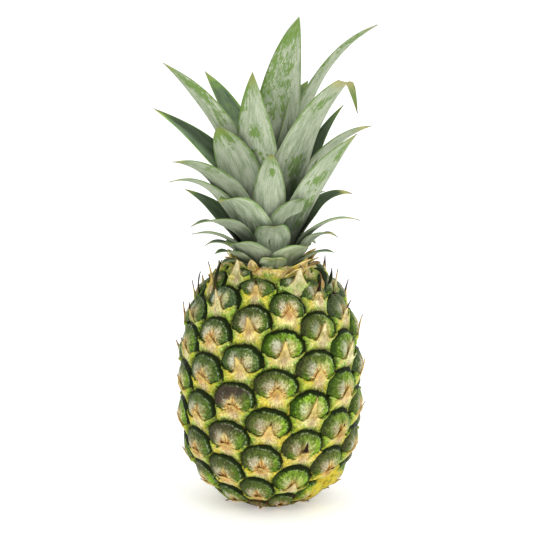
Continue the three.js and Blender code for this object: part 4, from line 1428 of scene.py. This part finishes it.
class PINEAPPLE_OT_leaves(bpy.types.Operator):
    """All leaves of the crown: stiff channelled blades with bloom outside and a darker inner face"""

    bl_idname = "pineapple.leaves"
    bl_label = "Crown leaves"

    ACROSS = 10
    ALONG = 44

    # How deep a root sinks into the stem, and how much of the sheet it takes up.
    ROOT = 7 * MM
    ROOT_SHARE = 0.06

    # The thickness is stored in this many steps.
    LEVELS = 20

    def execute(self, context):
        crown = context.scene.pineapple_crown
        blades = [Blade(row) for row in (*FRONT_LEAVES, *back_leaves(crown.back_leaves))]
        blades.append(Blade(FOLDED_LEAF, folded=True))
        count = len(blades)
        mesh, u, v = new_sheets("crown_leaves", count, self.ACROSS, self.ALONG)
        share = np.clip((v - self.ROOT_SHARE) / (1 - self.ROOT_SHARE), 0, 1)
        sunk = np.clip((self.ROOT_SHARE - v) / self.ROOT_SHARE, 0, 1) * self.ROOT
        sheets = [self.shape(index, blade, u, share, sunk) for index, blade in enumerate(blades)]
        set_points(mesh, np.vstack(sheets))
        across, along = np.tile(u, count), np.tile(share, count)
        number = np.repeat(np.arange(count), len(u)).astype(float)
        store(mesh, "leaf_place", across, along, np.repeat([blade.long for blade in blades], len(u)))
        store(mesh, "leaf_draw", *[draw(number, salt) for salt in (21, 22, 23)])
        self.store_wear_and_light(mesh, blades, u, v)
        piece = new_piece(mesh, "crown_leaf", "crown", "leaf outer face", "leaf inner face")
        self.thicken(piece, crown, across, along)
        return {"FINISHED"}

    def shape(self, index, blade, u, share, sunk):
        """One leaf's channelled and slightly waved sheet, whose root is sunk in the stem."""
        half = blade.half_width(share)
        depth = half * lerp(0.5, 0.28, np.clip(share / 0.4, 0, 1))
        wave = 0.05 * half * np.sin(share * 11 + 6.3 * draw(index, 24)) * np.sign(u) * u**2
        lift = depth * (1 - np.sqrt(np.clip(1 - 0.96 * u**2, 0, 1))) + wave
        return blade.sheet(share, u * half, lift, sunk) - 0.35 * sunk[:, None] * blade.out

    def store_wear_and_light(self, mesh, blades, u, v):
        """Each leaf's worn patches, half width, painted light and shade of its two halves, and tip. The
        folded leaf is the last.
        """
        count, size = len(blades), len(u)
        worn = np.zeros((count, size))
        for number, along, across, long, wide, strength in WORN:
            worn[number] += strength * bump(v, along, long) * bump(u, across, wide)
        half = np.repeat([blade.wide / 2 for blade in blades], size)
        halves = [LEAF_PAINTED_LIGHT.get(i, (1.0, 1.0)) for i in range(count)]
        painted_light = [lerp(left, right, smooth(u, 0.0, 0.4)) for left, right in halves]
        store(mesh, "leaf_wear_and_light", worn.ravel(), half, np.concatenate(painted_light))
        known = {**TIPS, count - 1: TIPS[-1]}
        tips = [known.get(i) or self.tip(i) for i in range(count)]
        store(mesh, "leaf_tip", *[np.repeat(shares, size) for shares in zip(*tips)])

    def tip(self, index):
        """A drawn tip for a leaf that has no row of its own."""
        return 0.4 * draw(index, 25), 0.7 * draw(index, 26) ** 2, 0.92

    def thicken(self, piece, crown, u, along):
        """Solid blades, thickest along the midrib."""
        group = piece.vertex_groups.new(name="thickness")
        levels = np.round((1 - 0.6 * u**2) * (1 - 0.5 * along) * self.LEVELS)
        for level in range(1, self.LEVELS + 1):
            chosen = np.nonzero(levels == level)[0]
            if len(chosen):
                group.add(chosen.tolist(), level / self.LEVELS, "REPLACE")
        wall = give_wall(piece, crown.thickness, -1.0)
        wall.vertex_group = "thickness"
        wall.material_offset = 1
        wall.material_offset_rim = 0


# The papery bracts and dry spines that stand loose round the crown's foot, in degrees and millimetres.
# Each row holds: the azimuth, the radius and the height of its foot, its rise above level at the foot,
# the middle and the tip, its length, its width, its sideways bend, its twist, its fullness, and shares
# from 0 to 1 of green and of brown, where more than 1 is black.
COLLAR = (
    (-24, 27, 156, 84, 78, 74, 12, 10, -4, 16, 1.2, 0.0, 0.3),
    (-42, 26, 157, 70, 56, 36, 12, 12, 4, -10, 1.3, 0.8, 0.0),
    (-62, 26, 157, 58, 42, 14, 12, 10, -8, 0, 1.4, 0.7, 0.2),
    (-12, 31, 156, 62, 46, 26, 11, 9, -10, 16, 1.6, 0.0, 0.5),
    (-3, 32, 155.5, 70, 54, 30, 10, 8, 6, -14, 1.5, 0.8, 0.1),
    (7, 32, 155.5, 62, 52, 40, 10, 10, 4, -8, 2.0, 0.1, -0.1),
    (15, 32, 155.5, 60, 44, 26, 11, 8, 14, 8, 1.5, 0.0, 0.4),
    (22, 33, 155.5, 50, 40, 30, 14, 8, 34, 26, 1.4, 0.2, 0.15),
    (27, 31, 156, 60, 48, 34, 20, 9, 44, 30, 1.3, 0.0, 0.2),
    (33, 32, 155.5, 50, 42, 34, 15, 7, 40, 20, 1.2, 0.0, 0.1),
    (38, 29, 157, 62, 50, 38, 16, 8, 36, 24, 1.3, 0.0, 0.4),
    (47, 29, 157, 78, 72, 76, 12, 7, 0, -14, 1.1, 0.1, 0.4),
    (62, 26, 157, 52, 36, 8, 13, 9, 10, 10, 1.3, 0.3, 0.6),
    (-56, 43.5, 151, 96, 112, 124, 17, 3.4, 0, 0, 1.2, 0.0, 1.3),
    (-79, 48.0, 144.5, 84, 96, 110, 13, 3.0, 20, 0, 1.2, 0.0, 1.3),
    (56, 43, 150.5, 84, 100, 170, 19, 4.6, -80, 0, 1.5, 0.0, 1.5),
    (63, 43, 150.5, 60, 90, 120, 11, 3.6, 30, 0, 1.5, 0.0, 1.4),
    (53, 43, 150, 80, 100, 120, 11, 4.0, -20, 0, 1.5, 0.0, 0.7),
)
COLLAR_BACK = 12


def collar_back():
    """The collar's rows at the back, drawn."""
    rows = []
    for i in range(COLLAR_BACK):
        azimuth = lerp(80, 280, i / (COLLAR_BACK - 1)) + 10 * (draw(i, 31) - 0.5)
        rise = lerp(45, 85, draw(i, 32))
        long = lerp(9, 15, draw(i, 33))
        wide = lerp(8, 11, draw(i, 34))
        bend = 30 * (draw(i, 35) - 0.5)
        green, brown = draw(i, 36) ** 2, draw(i, 37)
        shape = (rise, rise - 12, rise - 30, long, wide, bend, 0, 1.3)
        rows.append((azimuth, 24.5, 157.5, *shape, green, brown))
    return rows


class PINEAPPLE_OT_collar(bpy.types.Operator):
    """The papery bracts and dry curled spines round the crown's foot"""

    bl_idname = "pineapple.collar"
    bl_label = "Collar of dry bracts"

    ACROSS = 8
    ALONG = 16
    THICKNESS = 0.5 * MM

    # How deep a foot sinks into the rind, and how much of the sheet it takes up.
    ROOT = 3.5 * MM
    ROOT_SHARE = 0.1

    # The columns that the material reads: the length, green and brown.
    TOLD = (6, 11, 12)

    def execute(self, context):
        rows = [*COLLAR, *collar_back()]
        mesh, u, v = new_sheets("collar", len(rows), self.ACROSS, self.ALONG)
        set_points(mesh, np.vstack([self.shape(index, row, u, v) for index, row in enumerate(rows)]))
        told = [*np.array(rows)[:, self.TOLD].T, draw(np.arange(len(rows)), 38)]
        long, green, brown, seed = [np.repeat(values, len(u)) for values in told]
        store(mesh, "leaf_place", np.tile(u, len(rows)), np.tile(v, len(rows)), long)
        store(mesh, "leaf_draw", green, brown, seed)
        give_wall(new_piece(mesh, "fruit_rind", "crown", "dry bract"), self.THICKNESS, 0.0)
        return {"FINISHED"}

    def shape(self, index, row, u, v):
        """One loose bract: a curled triangular sheet whose foot is sunk in the rind."""
        azimuth, radius, *shape = row[:11]
        blade = Blade((azimuth, *shape), radius=radius)
        half = blade.half_width(v)
        x = u * half * (1 + 0.12 * np.sin(v * 9 + 6.3 * draw(index, 41)))
        curl = half * (0.35 * u**2 + 0.12 * np.sin(3 * u + 5 * v + 6.3 * draw(index, 42)))
        sunk = np.clip((self.ROOT_SHARE - v) / self.ROOT_SHARE, 0, 1) * self.ROOT
        return blade.sheet(v, x, curl, sunk)


class PINEAPPLE_OT_stem(bpy.types.Operator):
    """The crown's stem, which the leaves' roots hide"""

    bl_idname = "pineapple.stem"
    bl_label = "Crown stem"

    def execute(self, context):
        outline = [(0, STEM_OUTLINE[0][1]), *STEM_OUTLINE, (0, STEM_OUTLINE[-1][1] + 3)]
        mesh, _ = new_spun("crown_stem", [(radius * MM, height * MM) for radius, height in outline], 48)
        new_piece(mesh, "crown_leaf", "crown", "crown stem")
        return {"FINISHED"}


# ---- finishes ----


class PINEAPPLE_OT_finishes(bpy.types.Operator):
    """All materials of the fruit and the crown"""

    bl_idname = "pineapple.finishes"
    bl_label = "Finishes"

    def execute(self, context):
        palette = context.scene.pineapple_palette
        bract = bract_group(palette)
        ripe = ripe_group()
        rind_material(palette, bract, cap_group(palette), ripe)
        bract_material(palette, bract, ripe)
        collar_material(palette)
        wear = leaf_group()
        leaf_material("leaf outer face", wear, palette, palette.leaf_grey, palette.leaf_pale, 0.9, 0.6)
        leaf_material("leaf inner face", wear, palette, palette.leaf_dark, palette.leaf_shadow, 0.3, 0.5)
        leaf_material("crown stem", wear, palette, palette.leaf_dark, palette.leaf_dark, 0.0, 0.7)
        return {"FINISHED"}


# ---- the stage ----


class PINEAPPLE_OT_stage(bpy.types.Operator):
    """A plain pale floor, soft lights and the camera"""

    bl_idname = "pineapple.stage"
    bl_label = "Stage"

    # Each light's name, place, width in metres and power in watts, and the height that all of them face.
    LIGHTS = (
        ("key light", (0.9, -1.5, 1.3), 1.2, 7),
        ("fill light", (-1.3, -1.1, 0.9), 1.2, 1),
        ("low light", (0.9, -1.2, 0.1), 0.8, 2.5),
    )
    AIM = (0, 0, 0.16)

    def execute(self, context):
        scene = context.scene
        self.floor(scene.pineapple_palette)
        for light in self.LIGHTS:
            self.light(*light)
        world = bpy.data.worlds.new("soft white")
        world.use_nodes = True
        background = world.node_tree.nodes["Background"]
        background.inputs["Color"].default_value = (1, 1, 1, 1)
        background.inputs["Strength"].default_value = 1.0
        scene.world = world
        scene.view_settings.view_transform = "Standard"
        self.camera(scene, scene.pineapple_stage)
        return {"FINISHED"}

    def floor(self, palette):
        bm = bmesh.new()
        bmesh.ops.create_grid(bm, x_segments=1, y_segments=1, size=6.0)
        mesh = mesh_from(bm, "floor", False)
        _, shader = new_material("pale floor", 0.9, 0.1)
        feed(shader, {"Base Color": palette.floor, "Emission Color": palette.floor, "Emission Strength": 0.3})
        mesh.materials.append(bpy.data.materials["pale floor"])
        new_object("floor", mesh)

    def light(self, name, place, size, power):
        data = bpy.data.lights.new(name, "AREA")
        data.shape = "DISK"
        data.size = size
        data.energy = power
        lamp = new_object(name, data)
        lamp.location = place
        aim = Vector(self.AIM) - Vector(place)
        lamp.rotation_euler = aim.to_track_quat("-Z", "Y").to_euler()

    def camera(self, scene, stage):
        data = bpy.data.cameras.new("camera")
        data.lens = stage.lens
        data.sensor_width = 36
        data.clip_end = 50
        camera = new_object("camera", data)
        rise = math.radians(stage.camera_rise)
        middle = scene.pineapple_fruit.equator
        back = stage.camera_distance * math.cos(rise)
        camera.location = (0, -back, middle + stage.camera_distance * math.sin(rise))
        camera.rotation_euler = (math.radians(90 - stage.camera_pitch), 0, math.radians(-stage.camera_yaw))
        scene.camera = camera


# ---- the add-on ----

OPERATORS = (
    PINEAPPLE_OT_finishes,
    PINEAPPLE_OT_rind,
    PINEAPPLE_OT_bracts,
    PINEAPPLE_OT_stem,
    PINEAPPLE_OT_leaves,
    PINEAPPLE_OT_collar,
    PINEAPPLE_OT_stage,
)


class PINEAPPLE_PT_panel(bpy.types.Panel):
    """Lists the pieces of the pineapple"""

    bl_label = "Pineapple"
    bl_idname = "PINEAPPLE_PT_panel"
    bl_space_type = "VIEW_3D"
    bl_region_type = "UI"
    bl_category = "Pineapple"

    def draw(self, context):
        for operator in OPERATORS:
            self.layout.operator(operator.bl_idname)
        for name in GROUPS:
            settings = getattr(context.scene, name)
            box = self.layout.box()
            for key in settings.__annotations__:
                box.prop(settings, key)


CLASSES = (*GROUPS.values(), *OPERATORS, PINEAPPLE_PT_panel)


def register():
    for cls in CLASSES:
        bpy.utils.register_class(cls)
    for name, group in GROUPS.items():
        setattr(bpy.types.Scene, name, bpy.props.PointerProperty(type=group))


def unregister():
    for name in GROUPS:
        delattr(bpy.types.Scene, name)
    for cls in reversed(CLASSES):
        bpy.utils.unregister_class(cls)


def main():
    register()
    for operator in OPERATORS:
        _, action = operator.bl_idname.split(".")
        getattr(bpy.ops.pineapple, action)()


if __name__ == "__main__":
    main()
